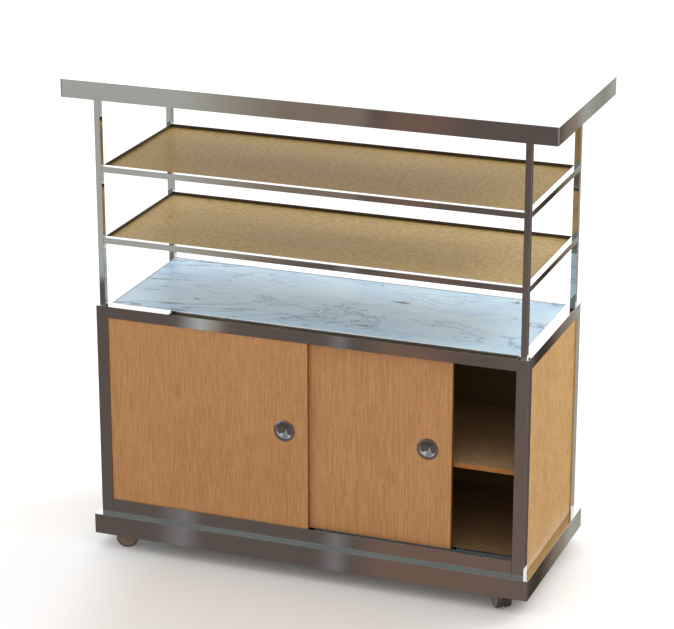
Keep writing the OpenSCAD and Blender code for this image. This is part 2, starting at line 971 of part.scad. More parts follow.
post(-1, 1);  // post_back_left
post(1, 1);  // post_back_right
gantry_frame(lower_shelf_h);  // lower_shelf_frame
gantry_panel(lower_shelf_h);  // lower_shelf_panel
gantry_frame(upper_shelf_h);  // upper_shelf_frame
gantry_panel(upper_shelf_h);  // upper_shelf_panel
bar_top_tray();
bar_top_board();
bar_top_ribs();
bar_top_bolts();
castor_housing(0);  // castor_front_left_housing
castor_axle(0);  // castor_front_left_axle
castor_wheel(0, -1);  // castor_front_left_wheel_1
castor_wheel(0, 1);  // castor_front_left_wheel_2
castor_housing(1);  // castor_front_right_housing
castor_axle(1);  // castor_front_right_axle
castor_wheel(1, -1);  // castor_front_right_wheel_1
castor_wheel(1, 1);  // castor_front_right_wheel_2
castor_housing(2);  // castor_back_left_housing
castor_axle(2);  // castor_back_left_axle
castor_wheel(2, -1);  // castor_back_left_wheel_1
castor_wheel(2, 1);  // castor_back_left_wheel_2
castor_housing(3);  // castor_back_right_housing
castor_axle(3);  // castor_back_right_axle
castor_wheel(3, -1);  // castor_back_right_wheel_1
castor_wheel(3, 1);  // castor_back_right_wheel_2
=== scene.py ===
"""Looks of a mobile bar: steel frame, oak doors, marble counter and a two-shelf gantry.

Metres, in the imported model's frame: front towards -Y, floor at z = 0.
"""

from __future__ import annotations

import json
import logging
from dataclasses import dataclass
from enum import Enum
from typing import Callable, Iterable, Iterator, Sequence

import bpy
import numpy as np
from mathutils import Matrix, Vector

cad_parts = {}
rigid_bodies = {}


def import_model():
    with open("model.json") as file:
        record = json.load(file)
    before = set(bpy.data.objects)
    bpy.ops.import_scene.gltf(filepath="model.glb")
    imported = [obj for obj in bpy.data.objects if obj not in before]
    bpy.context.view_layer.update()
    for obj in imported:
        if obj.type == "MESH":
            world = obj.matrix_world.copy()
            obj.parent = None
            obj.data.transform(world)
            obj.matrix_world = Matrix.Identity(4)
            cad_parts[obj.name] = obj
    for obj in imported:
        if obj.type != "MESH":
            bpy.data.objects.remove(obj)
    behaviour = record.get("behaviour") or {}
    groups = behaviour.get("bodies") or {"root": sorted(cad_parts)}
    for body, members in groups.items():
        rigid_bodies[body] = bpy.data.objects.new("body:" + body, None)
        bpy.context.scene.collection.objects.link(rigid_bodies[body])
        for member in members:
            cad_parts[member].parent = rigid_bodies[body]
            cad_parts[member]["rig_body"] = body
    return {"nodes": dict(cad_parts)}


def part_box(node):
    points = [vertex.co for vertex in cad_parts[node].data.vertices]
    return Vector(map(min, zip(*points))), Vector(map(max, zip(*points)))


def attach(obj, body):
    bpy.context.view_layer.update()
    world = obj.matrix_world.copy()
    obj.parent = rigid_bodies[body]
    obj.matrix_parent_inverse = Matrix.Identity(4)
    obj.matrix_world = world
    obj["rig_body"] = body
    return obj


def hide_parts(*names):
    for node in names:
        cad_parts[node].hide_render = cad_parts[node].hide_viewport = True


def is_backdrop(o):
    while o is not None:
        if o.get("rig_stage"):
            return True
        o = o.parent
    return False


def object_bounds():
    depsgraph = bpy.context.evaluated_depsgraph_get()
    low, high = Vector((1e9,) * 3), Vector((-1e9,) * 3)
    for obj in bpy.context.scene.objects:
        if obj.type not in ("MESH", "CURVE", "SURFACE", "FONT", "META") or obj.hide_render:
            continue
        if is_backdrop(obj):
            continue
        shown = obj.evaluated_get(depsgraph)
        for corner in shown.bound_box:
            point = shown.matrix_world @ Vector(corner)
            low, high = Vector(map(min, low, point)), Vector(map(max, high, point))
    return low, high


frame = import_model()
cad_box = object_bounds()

LOG = logging.getLogger("mobile_bar")
MM = 0.001
Array = np.ndarray
Colour = tuple[float, float, float]
Direction = tuple[float, float, float]
Span = tuple[float, float]
Window = tuple[float, float, float, float]
WHITE: Colour = (1.0, 1.0, 1.0)
# Steps across a rounded edge, and the angle in degrees from which a bevel eases one
EASE_STEPS = 2
SHARP_EDGE = 40


@dataclass
class Shape:
    """Points and faces of one or more closed surfaces."""

    points: Array
    faces: list[list[int]]

    def moved(self, offset: Sequence[float]) -> "Shape":
        """The same surface shifted by offset."""
        return Shape(self.points + np.asarray(offset, float), self.faces)

    def turned(self, matrix: Array) -> "Shape":
        """The same surface with every point multiplied by a rotation matrix."""
        return Shape(self.points @ matrix.T, self.faces)

    @staticmethod
    def joined(parts: Iterable["Shape"]) -> "Shape":
        """All parts as one surface, their face numbers shifted by the points before them."""
        parts = list(parts)
        starts = np.cumsum([0] + [len(p.points) for p in parts[:-1]])
        faces = [[i + s for i in f] for p, s in zip(parts, starts.tolist()) for f in p.faces]
        return Shape(np.concatenate([p.points for p in parts]), faces)


def quarter(steps: int) -> Array:
    """Angles from 0 to a quarter turn."""
    return np.linspace(0, np.pi / 2, steps + 1)


def about_z(degrees: float) -> Array:
    """Rotation matrix about Z: columns are the turned X, Y and Z axes."""
    c, s = np.cos(np.radians(degrees)), np.sin(np.radians(degrees))
    return np.array([[c, -s, 0.0], [s, c, 0.0], [0.0, 0.0, 1.0]])


# Columns are where a shape drawn looking up Z goes when it faces the front
TO_FRONT = np.array([[1.0, 0.0, 0.0], [0.0, 0.0, -1.0], [0.0, 1.0, 0.0]])
# The same for a shape whose axis becomes X
TO_SIDE = np.array([[0.0, 0.0, 1.0], [1.0, 0.0, 0.0], [0.0, 1.0, 0.0]])
# Corners of a square, anticlockwise from the one at +X, +Y
CORNERS = np.array([[1, 1], [-1, 1], [-1, -1], [1, -1]], float)


def rounding(radius: float, steps: int) -> tuple[Array, Array]:
    """Of an edge's rounding, radius times (1 - sin t) and radius times (1 - cos t).

    Args:
        radius: radius of the edge.
        steps: steps of t from 0 to a quarter turn.

    Returns:
        Both as arrays: one falls from radius to 0 and the other rises to it.
    """
    turn = quarter(steps)
    return radius * (1 - np.sin(turn)), radius * (1 - np.cos(turn))


def lifted(outlines: Iterable[Array], heights: Iterable[float]) -> Array:
    """Outlines in (x, y), each at its own height, as rings for a loft."""
    return np.stack([np.column_stack([o, np.full(len(o), z)]) for o, z in zip(outlines, heights)])


def loft(rings: Array, ring_of_rings: bool = False) -> Shape:
    """A skin over rings of equally many points.

    Quad (i, j) joins points j and j + 1 of ring i with those of ring i + 1. The
    rings run anticlockwise about the way they advance, so faces look outwards.

    Args:
        rings: points as (rings, points, 3).
        ring_of_rings: whether the last ring joins the first instead of both ends
            being capped.

    Returns:
        The closed surface.
    """
    m, n = rings.shape[:2]
    index = np.arange(m * n).reshape(m, n)
    if ring_of_rings:
        index = np.vstack([index, index[:1]])
    nxt = np.roll(index, -1, axis=1)
    faces = np.stack([index[:-1], nxt[:-1], nxt[1:], index[1:]], -1).reshape(-1, 4).tolist()
    if not ring_of_rings:
        faces += [index[0, ::-1].tolist(), index[-1].tolist()]
    return Shape(rings.reshape(-1, 3), faces)


def round_rectangle(
    half: Sequence[float], radius: float, inset: float, steps: int, hold: float = 0.0
) -> Array:
    """Outline of a rectangle with round corners.

    Corner k is its centre plus (radius - inset) times (cos, sin) of the angles
    from k to k + 1 quarter turns. With hold, each side has a further point that far
    from both its corners, which keeps smooth shading of it flat.

    Args:
        half: half the size along X and Y.
        radius: corner radius before the inset.
        inset: how far the outline is drawn in on all sides.
        steps: steps per corner.
        hold: distance of the further points, or 0 for none.

    Returns:
        Points as (4 * (steps + 1), 2), or 8 more with hold, anticlockwise.
    """
    turn = np.arange(4)[:, None] * np.pi / 2 + quarter(steps)[None, :]
    centre = CORNERS * (np.asarray(half) - radius)
    around = np.stack([np.cos(turn), np.sin(turn)], -1)
    corners = centre[:, None, :] + (radius - inset) * around
    if hold:
        along = hold * np.stack([-around[..., 1], around[..., 0]], -1)
        before, after = corners[:, :1] - along[:, :1], corners[:, -1:] + along[:, -1:]
        corners = np.concatenate([before, corners, after], axis=1)
    return corners.reshape(-1, 2)


def eased_block(
    low: Sequence[float], high: Sequence[float], ease: float, corner: float = 0.0
) -> Shape:
    """A block whose edges are rounded.

    Rings of round rectangles climb it. Near both ends the inset is ease times
    (1 - sin t) and the height ease times (1 - cos t), t from 0 to a quarter turn.

    Args:
        low: lowest corner.
        high: highest corner.
        ease: radius of the top and bottom edges.
        corner: radius of the upright edges, or 0 for a little over ease.

    Returns:
        The closed surface.
    """
    low, high = np.asarray(low, float), np.asarray(high, float)
    mid, half = (low + high) / 2, (high - low) / 2
    corner = corner or 1.25 * ease
    inset, rise = rounding(ease, EASE_STEPS)
    outlines = [
        round_rectangle(half[:2], corner, i, EASE_STEPS) for i in (*inset, *inset[::-1])
    ]
    heights = (*(rise - half[2]), *(half[2] - rise[::-1]))
    return loft(lifted(outlines, heights)).moved(mid)


def carried_along_x(section: Array, start: Array, end: Array) -> Shape:
    """A profile in (y, z) carried along X, each of its points between its own ends.

    Args:
        section: (points, 2), anticlockwise seen from +X.
        start: x of every point at the low end.
        end: x of every point at the high end.

    Returns:
        The closed surface.
    """
    return loft(np.stack([np.column_stack([x, section]) for x in (start, end)]))


def carried_round(profile: Array, half: Sequence[float]) -> Shape:
    """A profile in (outwards, z) carried round a rectangle with mitred corners.

    Args:
        profile: (points, 2), anticlockwise with outwards to the right.
        half: half the rectangle's size along X and Y.

    Returns:
        The closed ring, each profile point drawn as a rectangle that is larger by
        its distance outwards.
    """
    outlines = [CORNERS * (np.asarray(half) + outwards) for outwards in profile[:, 0]]
    return loft(lifted(outlines, profile[:, 1]), ring_of_rings=True)


def turned_on_lathe(profile: Array, count: int, ring: bool = False) -> Shape:
    """A profile in (radius, height) turned about Z.

    Point (i, j) is radius i times (cos, sin) of the j-th part of a full turn, at
    height i.

    Args:
        profile: (points, 2), from the axis outwards, up and back in.
        count: parts of a full turn.
        ring: whether the profile is a closed loop away from the axis.

    Returns:
        The closed surface.
    """
    angle = np.arange(count) * 2 * np.pi / count
    radius, height = profile[:, :1], profile[:, 1:]
    rings = np.stack(
        [radius * np.cos(angle), radius * np.sin(angle), height + 0 * angle], axis=-1
    )
    return loft(rings, ring_of_rings=ring)


def arc(centre: Sequence[float], radius: float, start: float, end: float, steps: int) -> Array:
    """Points of a circle's arc: centre plus radius times (cos, sin) of degrees start to end."""
    angle = np.radians(np.linspace(start, end, steps + 1))
    return np.asarray(centre) + radius * np.column_stack([np.cos(angle), np.sin(angle)])


def panel_with_pocket(
    low: Array, high: Array, centre: Sequence[float], radius: float, depth: float, ease: float
) -> Shape:
    """An upright board with a round blind pocket in its front face.

    All rings share their angles about the pocket's axis. A rectangle's ring is
    where each ray leaves the rectangle, and the rings run from the back face
    round the edge, over the front face and down into the pocket.

    Args:
        low: lowest corner of the board.
        high: highest corner of the board.
        centre: x and z of the pocket.
        radius: radius of the pocket.
        depth: depth of the pocket.
        ease: radius of the board's edges.

    Returns:
        The closed surface.
    """
    left, right = low[0] - centre[0], high[0] - centre[0]
    down, up = low[2] - centre[1], high[2] - centre[1]
    corners = np.arctan2([up, up, down, down], [right, left, left, right])
    angle = np.sort(np.concatenate([np.linspace(-np.pi, np.pi, 73)[:-1] + 0.01, corners]))
    ray = np.column_stack([np.cos(angle), np.sin(angle)])

    def rectangle(inset: float) -> Array:
        """Where the rays leave the rectangle drawn in by inset."""
        across = np.where(ray[:, 0] > 0, right - inset, -left - inset) / np.abs(ray[:, 0])
        along = np.where(ray[:, 1] > 0, up - inset, -down - inset) / np.abs(ray[:, 1])
        return ray * np.minimum(across, along)[:, None]

    lip = 0.3 * ease
    inset, rise = rounding(ease, 3)
    outlines = [rectangle(i) for i in (*inset, *inset[::-1])]
    outlines += [ray * r for r in (radius + lip, radius, radius)]
    heights = (*(rise - (high[1] - low[1])), *(-rise[::-1]), 0.0, -lip, -depth)
    board = loft(lifted(outlines, heights)).turned(TO_FRONT)
    return board.moved([centre[0], low[1], centre[1]])


class Grain(Enum):
    """Which way the grain or the polishing lines of a piece run."""

    LENGTHWISE = 0
    DEPTHWISE = 1
    UPRIGHT = 2

    def stretch(self, ratio: float) -> Direction:
        """Mapping scale that draws a pattern out along the grain."""
        return tuple(ratio if axis == self.value else 1.0 for axis in range(3))


class Bench:
    """Short calls that lay out the nodes of one material or world."""

    def __init__(self, tree: bpy.types.NodeTree) -> None:
        """Starts on an empty tree."""
        tree.nodes.clear()
        self.tree = tree

    def add(self, kind: str, inputs: dict | None = None, **settings: object) -> bpy.types.Node:
        """Adds a node.

        Args:
            kind: the node's type without its ShaderNode prefix.
            inputs: socket name or number to a value or to another node's output.
            **settings: the node's own properties.

        Returns:
            The node.
        """
        node = self.tree.nodes.new("ShaderNode" + kind)
        for name, value in settings.items():
            setattr(node, name, value)
        for name, value in (inputs or {}).items():
            if isinstance(value, bpy.types.NodeSocket):
                self.tree.links.new(value, node.inputs[name])
            else:
                node.inputs[name].default_value = value
        return node

    def math(self, operation: str, a: object, b: object = 0.0) -> object:
        """Result of one math operation on two numbers or sockets."""
        return self.add("Math", {0: a, 1: b}, operation=operation).outputs[0]

    def plus(self, a: object, b: object) -> object:
        """Sum of two numbers or sockets."""
        return self.math("ADD", a, b)

    def minus(self, a: object, b: object) -> object:
        """The first number or socket less the second."""
        return self.math("SUBTRACT", a, b)

    def times(self, a: object, b: object) -> object:
        """Product of two numbers or sockets."""
        return self.math("MULTIPLY", a, b)

    def between(self, value: object, low: float, high: float) -> object:
        """0 below low, 1 above high, and an S-shaped climb between them."""
        node = self.add(
            "MapRange", {0: value, 1: low, 2: high, 3: 0.0, 4: 1.0}, interpolation_type="SMOOTHSTEP"
        )
        return node.outputs[0]

    def window(self, value: object, a: float, b: float, c: float, d: float) -> object:
        """1 between b and c, 0 below a and above d, and a slope between."""
        falling = self.minus(1.0, self.between(value, c, d))
        return self.times(self.between(value, a, b), falling)

    def space(self, scale: Direction = (1, 1, 1), turn: Direction = (0, 0, 0)) -> object:
        """Object coordinates turned and scaled by a Mapping node."""
        place = self.add("TexCoord").outputs["Object"]
        return self.add("Mapping", {"Vector": place, "Rotation": turn, "Scale": scale}).outputs[0]

    def noise(
        self,
        vector: object,
        scale: float,
        detail: float = 2.0,
        rough: float = 0.5,
        warp: float = 0.0,
    ) -> object:
        """Factor of a noise texture."""
        inputs = {"Vector": vector, "Scale": scale, "Detail": detail, "Roughness": rough}
        return self.add("TexNoise", inputs | {"Distortion": warp}).outputs[0]

    def ramp(self, value: object, stops: Sequence[tuple[float, Colour]]) -> object:
        """Colour between stops, and the end colours beyond them.

        The value is first spread from the first stop to the last over the whole
        ramp, so that stops which lie close together stay apart.

        Args:
            value: a number or socket.
            stops: the values and their colours, rising.

        Returns:
            The colour's socket.
        """
        low, high = stops[0][0], stops[-1][0]
        spread = self.add("MapRange", {0: value, 1: low, 2: high}).outputs[0]
        node = self.add("ValToRGB", {0: spread})
        for place, _ in stops[1:-1]:
            node.color_ramp.elements.new((place - low) / (high - low))
        for element, (_, colour) in zip(node.color_ramp.elements, stops):
            element.color = (*colour, 1.0)
        return node.outputs[0]

    def mix(self, factor: object, low: object, high: object) -> object:
        """Two colours mixed: low at a factor of 0 and high at 1."""
        low, high = (
            c if isinstance(c, bpy.types.NodeSocket) else (*c, 1.0) for c in (low, high)
        )
        return self.add("Mix", {0: factor, 6: low, 7: high}, data_type="RGBA").outputs[2]

    def bump(self, height: object, distance: float, strength: float = 1.0) -> object:
        """Normal of a surface whose height is the factor times distance in metres."""
        node = self.add("Bump", {"Height": height, "Distance": distance, "Strength": strength})
        return node.outputs[0]


def material(name: str, colour: Colour) -> tuple[bpy.types.Material, Bench]:
    """A new node material and the bench on its tree."""
    made = bpy.data.materials.new(name)
    made.use_nodes = True
    made.diffuse_color = (*colour, 1.0)
    return made, Bench(made.node_tree)


def dimmed(colour: Colour, share: float) -> Colour:
    """A colour times share."""
    return tuple(share * c for c in colour)


def add_object(name: str, data: bpy.types.ID) -> bpy.types.Object:
    """A new object that holds data, linked into the scene."""
    made = bpy.data.objects.new(name, data)
    bpy.context.scene.collection.objects.link(made)
    return made


@dataclass(frozen=True)
class Finish:
    """A finish that ends in one principled shader.

    Attributes:
        name: the material's name.
        colour: its main colour, which a plain viewer shows too.
    """

    name: str
    colour: Colour

    def sockets(self, bench: Bench) -> dict:
        """The shader's sockets by name, each a value or another node's output."""
        raise NotImplementedError

    def material(self) -> bpy.types.Material:
        """A node material with this finish, newly built."""
        made, bench = material(self.name, self.colour)
        shader = bench.add("BsdfPrincipled", self.sockets(bench))
        bench.add("OutputMaterial", {"Surface": shader.outputs[0]})
        return made


@dataclass(frozen=True)
class PolishedSteel(Finish):
    """Mirror-polished sheet or tube with faint polishing lines and a little wave.

    Attributes:
        colour: colour of its reflection.
        grain: the way the polishing lines run.
        gloss: lowest roughness.
        haze: roughness that smears add to it at most, and lines again.
        lines: polishing lines per metre.
        groove: depth of these lines in metres.
        wave: height of the sheet's unevenness in metres.
    """

    colour: Colour = (0.66, 0.65, 0.64)
    grain: Grain = Grain.LENGTHWISE
    gloss: float = 0.02
    haze: float = 0.012
    lines: float = 900.0
    groove: float = 0.000002
    wave: float = 0.0001

    def sockets(self, bench: Bench) -> dict:
        """Lays out fine lines and broad smears over a slow swell of the sheet.

        Args:
            bench: the material's bench.

        Returns:
            The shader's sockets.
        """
        lines = bench.noise(bench.space(self.grain.stretch(0.006)), self.lines, 3.0, 0.6)
        smears = bench.noise(bench.space(self.grain.stretch(0.35)), 14.0, 4.0, 0.6, 0.6)
        swell = bench.noise(bench.space(self.grain.stretch(0.5)), 3.2, 1.0, 0.4)
        haze = bench.times(bench.between(smears, 0.42, 0.75), self.haze)
        rough = bench.plus(haze, bench.times(lines, self.haze))
        rough = bench.plus(rough, self.gloss)
        colour = bench.mix(bench.between(smears, 0.35, 0.7), dimmed(self.colour, 0.95), self.colour)
        fine = bench.bump(lines, self.groove)
        normal = bench.add("Bump", {"Height": swell, "Distance": self.wave, "Normal": fine})
        normal = normal.outputs[0]
        return {"Base Color": colour, "Metallic": 1.0, "Roughness": rough, "Normal": normal}


@dataclass(frozen=True)
class Oak(Finish):
    """Lacquered straight-grained oak: streaks, fibres and short dark pores.

    Its lacquer is dull in its mirror images in the steel.

    Attributes:
        colour: colour of the early wood.
        dark: colour of the late wood.
        grain: the way the grain runs.
        pitch: streaks per metre across the grain.
        fibres_per_streak: how much finer the fibres are.
        pores_per_streak: how much finer the pores are.
        run: a streak's width as a part of its length.
        pores: how dark the pores are, 0 to 1.
        shine: specular level of the lacquer.
        coat: weight of the lacquer's clear coat.
        relief: height of the fibres in metres.
        edge: colour painted on the faces towards the left and the right as shade, if another.
    """

    dark: Colour
    grain: Grain = Grain.UPRIGHT
    pitch: float = 290.0
    fibres_per_streak: float = 2.7
    pores_per_streak: float = 4.5
    run: float = 0.035
    pores: float = 0.5
    shine: float = 0.35
    coat: float = 0.06
    relief: float = 0.00012
    edge: Colour | None = None

    def sockets(self, bench: Bench) -> dict:
        """Lays out streaks, finer fibres and dark pores, all drawn out along the grain.

        Args:
            bench: the material's bench.

        Returns:
            The shader's sockets.
        """
        place = bench.space(self.grain.stretch(self.run))
        streaks = bench.noise(place, self.pitch, 3.0, 0.6, 0.3)
        fibres = bench.noise(place, self.fibres_per_streak * self.pitch, 2.0, 0.6)
        pore = bench.noise(place, self.pores_per_streak * self.pitch, 1.0, 0.5)
        tone = bench.noise(bench.space(self.grain.stretch(0.2)), 7.0, 2.0, 0.5)
        grown = bench.plus(bench.times(streaks, 0.62), bench.times(fibres, 0.36))
        grown = bench.plus(grown, bench.times(tone, 0.12))
        base = bench.mix(bench.between(grown, 0.42, 0.68), self.dark, self.colour)
        # Faces towards the left and the right take the edge colour: painted shade on the doors' end
        # faces.
        if self.edge is not None:
            normal = bench.add("TexCoord").outputs["Normal"]
            sideways = bench.math("ABSOLUTE", bench.add("SeparateXYZ", {0: normal}).outputs[0])
            side = bench.between(sideways, 0.6, 0.9)
            base = bench.mix(side, base, self.edge)
        flecks = bench.times(bench.between(pore, 0.60, 0.72), self.pores)
        colour = bench.mix(flecks, base, dimmed(self.dark, 0.45))
        rough = bench.plus(bench.times(fibres, 0.14), 0.36)
        rough = bench.math("MAXIMUM", rough, bench.add("LightPath").outputs["Is Glossy Ray"])
        height = bench.minus(bench.times(fibres, 0.5), flecks)
        return {
            "Base Color": colour,
            "Roughness": rough,
            "Normal": bench.bump(height, self.relief, 0.6),
            "Specular IOR Level": self.shine,
            "Coat Weight": self.coat,
            "Coat Roughness": 0.3,
        }


@dataclass(frozen=True)
class Marble(Finish):
    """Honed pale blue-white marble with thin dark veins, mostly lengthwise.

    Attributes:
        colour: colour of the stone between the veins.
        cloud: colour of its soft cloudy patches.
        vein: colour of the veins.
        fleck: colour of the few dark flecks.
        sheen: weight of the pale film that shows at low angles.
        sheen_tint: colour of that film.
        relief: height of its unevenness in metres.
        sets: scale, width, turn and weight of the soft, main and fine veins.
    """

    name: str = "veined_blue_white_marble"
    colour: Colour = (0.60, 0.825, 1.0)
    cloud: Colour = (0.49, 0.72, 1.0)
    vein: Colour = (0.03, 0.08, 0.17)
    fleck: Colour = (0.02, 0.025, 0.03)
    sheen: float = 0.23
    sheen_tint: Colour = (0.42, 0.64, 1.0)
    relief: float = 0.00004
    sets: tuple[tuple[float, float, float, float], ...] = (
        (1.9, 0.045, -0.16, 0.13),
        (1.9, 0.011, -0.16, 0.90),
        (5.0, 0.010, 0.10, 0.60),
    )

    def veins(self, bench: Bench, scale: float, width: float, turn: float) -> object:
        """Thin lines where a warped noise crosses its middle.

        Args:
            bench: the material's bench.
            scale: veins per metre, about.
            width: how far the noise may lie from its middle on a vein.
            turn: angle of the veins about Z.

        Returns:
            A factor, 1 in the middle of a vein.
        """
        place = bench.space((0.5, 1.5, 1.0), (0.0, 0.0, turn))
        cloud = bench.noise(place, scale, 7.0, 0.6, 1.4)
        off = bench.math("ABSOLUTE", bench.minus(cloud, 0.5))
        line = bench.minus(1.0, bench.between(off, 0.0, width))
        patch = bench.between(bench.noise(place, 1.1 * scale, 3.0), 0.42, 0.58)
        return bench.times(line, patch)

    def sockets(self, bench: Bench) -> dict:
        """Lays out soft clouds, three sets of veins over them and a few flecks.

        Args:
            bench: the material's bench.

        Returns:
            The shader's sockets.
        """
        clouds = bench.noise(bench.space((0.6, 1.4, 1.0), (0, 0, 0.4)), 4.0, 6.0, 0.65, 0.8)
        base = bench.mix(bench.between(clouds, 0.38, 0.66), self.colour, self.cloud)
        for scale, width, turn, weight in self.sets:
            line = self.veins(bench, scale, width, turn)
            base = bench.mix(bench.times(line, weight), base, self.vein)
        spots = bench.noise(bench.space((0.5, 1.2, 1.0), (0, 0, -0.2)), 16.0, 3.0, 0.5, 0.4)
        spots = bench.times(bench.between(spots, 0.68, 0.72), 0.95)
        base = bench.mix(spots, base, self.fleck)
        return {
            "Base Color": base,
            "Roughness": bench.plus(bench.times(clouds, 0.12), 0.3),
            "Normal": bench.bump(clouds, self.relief),
            "Specular IOR Level": 0.3,
            "Sheen Weight": self.sheen,
            "Sheen Tint": (*self.sheen_tint, 1.0),
        }


@dataclass(frozen=True)
class Plywood(Finish):
    """Birch board: pale faces with a long soft figure and thin plies at its edges.

    Attributes:
        colour: colour of the early wood.
        dark: colour of the late wood and of every other ply.
        plies: thickness of two plies in metres.
        relief: height of the fibres in metres.
    """

    name: str = "birch_plywood"
    colour: Colour = (0.62, 0.47, 0.30)
    dark: Colour = (0.42, 0.29, 0.16)
    plies: float = 0.0028
    relief: float = 0.00015

    def sockets(self, bench: Bench) -> dict:
        """Lays out the figure of the face, its fibres and the plies by height.

        Args:
            bench: the material's bench.

        Returns:
            The shader's sockets.
        """
        figure = bench.noise(bench.space((0.12, 1.0, 1.0)), 16.0, 4.0, 0.55, 1.2)
        fibres = bench.noise(bench.space((0.05, 1.0, 1.0)), 300.0, 2.0)
        height = bench.add("SeparateXYZ", {0: bench.space()}).outputs[2]
        plies = bench.math("SINE", bench.times(height, 2 * np.pi / self.plies))
        base = bench.mix(bench.between(figure, 0.35, 0.7), self.colour, self.dark)
        base = bench.mix(bench.times(fibres, 0.4), base, self.dark)
        base = bench.mix(bench.times(bench.between(plies, 0.1, 0.6), 0.12), base, self.dark)
        return {
            "Base Color": base,
            "Roughness": bench.plus(bench.times(fibres, 0.2), 0.5),
            "Normal": bench.bump(fibres, self.relief, 0.6),
            "Specular IOR Level": 0.3,
        }


@dataclass(frozen=True)
class Coating(Finish):
    """Painted or moulded surface with an orange-peel skin, scuffs and settled dust.

    Attributes:
        worn: colour of the scuffs.
        rough: mean roughness.
        metal: how metallic it is.
        peel: height of the skin's unevenness in metres.
    """

    worn: Colour
    rough: float = 0.45
    metal: float = 0.0
    peel: float = 0.00006

    def sockets(self, bench: Bench) -> dict:
        """Lays out the skin's peel, scuffs and dust.

        Args:
            bench: the material's bench.

        Returns:
            The shader's sockets.
        """
        skin = bench.noise(bench.space(), 520.0, 2.0)
        scuffs = bench.noise(bench.space((1.0, 1.0, 0.4)), 60.0, 5.0, 0.7, 0.8)
        dust = bench.noise(bench.space(), 9.0, 3.0)
        worn = bench.times(bench.between(scuffs, 0.56, 0.74), 0.35)
        colour = bench.mix(worn, self.colour, self.worn)
        dusty = bench.times(bench.between(dust, 0.4, 0.8), 0.2)
        colour = bench.mix(dusty, colour, self.worn)
        rough = bench.plus(bench.times(scuffs, 0.2), self.rough - 0.1)
        return {
            "Base Color": colour,
            "Metallic": self.metal,
            "Roughness": rough,
            "Normal": bench.bump(skin, self.peel, 0.7),
        }


class Finishes:
    """Every material of the bar, made once."""

    def __init__(self) -> None:
        """Builds them."""
        self.steel_x = PolishedSteel("polished_steel_lengthwise").material()
        self.steel_y = PolishedSteel("polished_steel_depthwise", grain=Grain.DEPTHWISE).material()
        self.steel_z = PolishedSteel("polished_steel_upright", grain=Grain.UPRIGHT).material()
        self.pull = PolishedSteel("pull_steel", (0.60, 0.60, 0.61), gloss=0.06, wave=0.0).material()
        self.bright = PolishedSteel("zinc_plated_steel", (0.72, 0.72, 0.70), gloss=0.22).material()
        # The doors' oak is a warmer, more orange copy of the side panels' oak: painted warm light
        # on the front.
        door = dict(colour=(0.575, 0.285, 0.108), dark=(0.44, 0.200, 0.070))
        # The doors' end faces get a darker colour: painted shade.
        self.oak_door = Oak("oak_doors", edge=(0.24, 0.094, 0.020), **door).material()
        panel = dict(colour=(0.60, 0.36, 0.13), dark=(0.42, 0.225, 0.075), pitch=170.0, run=0.16)
        self.oak_panel = Oak("oak_side_panels", shine=0.2, **panel).material()
        shelf = dict(grain=Grain.LENGTHWISE, pitch=200.0, run=0.3, shine=0.05)
        # The lower shelf's oak is a lighter copy of the upper shelf's: painted light against the
        # shade that the upper shelf casts on it.
        low = dict(colour=(0.70, 0.518, 0.222), dark=(0.40, 0.275, 0.102), **shelf)
        high = dict(colour=(0.62, 0.450, 0.170), dark=(0.33, 0.230, 0.080), **shelf)
        self.oak_low = Oak("oak_lower_shelf", **low).material()
        self.oak_high = Oak("oak_upper_shelf", **high).material()
        inside = dict(colour=(0.68, 0.44, 0.225), dark=(0.50, 0.30, 0.140), pitch=150.0, run=0.2)
        self.oak_inside = Oak("oak_inside", grain=Grain.LENGTHWISE, **inside).material()
        # The cabinet floor gets a darker copy of the oak: painted shade in the lower compartment.
        floor = dict(colour=(0.36, 0.225, 0.105), dark=(0.26, 0.150, 0.065), pitch=150.0, run=0.2)
        self.oak_floor_painted_shade = Oak("oak_cabinet_floor_painted_shade", grain=Grain.LENGTHWISE, **floor).material()
        # The panels' inner faces get a darker copy of the oak: painted shade inside the cabinet.
        inner_shade = dict(colour=(0.195, 0.112, 0.045), dark=(0.155, 0.083, 0.032), run=0.1)
        self.oak_inner_painted_shade = Oak("oak_inner_faces_painted_shade", pores=0.2, shine=0.2, **inner_shade).material()
        # The inner shelf's front faces get a darker, redder copy of the oak: painted shade at the
        # cabinet's opening.
        edge = dict(colour=(0.42, 0.165, 0.031), dark=(0.32, 0.112, 0.018), pitch=150.0, run=0.2)
        self.oak_front_painted_shade = Oak("oak_shelf_front_painted_shade", grain=Grain.LENGTHWISE, **edge).material()
        self.marble = Marble().material()
        self.plywood = Plywood().material()
        dark = Coating("dark_steel", (0.075, 0.070, 0.066), (0.15, 0.14, 0.13), 0.4, 0.85)
        nylon = Coating("grey_nylon", (0.05, 0.05, 0.052), (0.13, 0.125, 0.12), 0.5)
        body = Coating("castor_housing_nylon", (0.11, 0.080, 0.060), (0.2, 0.16, 0.13), 0.38)
        tyre = Coating("castor_tyre", (0.060, 0.044, 0.036), (0.13, 0.105, 0.09), 0.5)
        hub = Coating("castor_hub_nylon", (0.23, 0.145, 0.100), (0.3, 0.21, 0.16), 0.4)
        # Dark steel for the shelf frames' downward and inward faces: painted shade, with the
        # coating's scuffs and dust.
        shade_steel = Coating("steel_faces_painted_shade", (0.085, 0.066, 0.050), (0.14, 0.115, 0.09), 0.45, 0.3)
        coatings = [coating.material() for coating in (dark, nylon, body, tyre, hub, shade_steel)]
        self.dark, self.nylon, self.castor_body, self.tyre, self.hub, self.steel_painted_shade = coatings


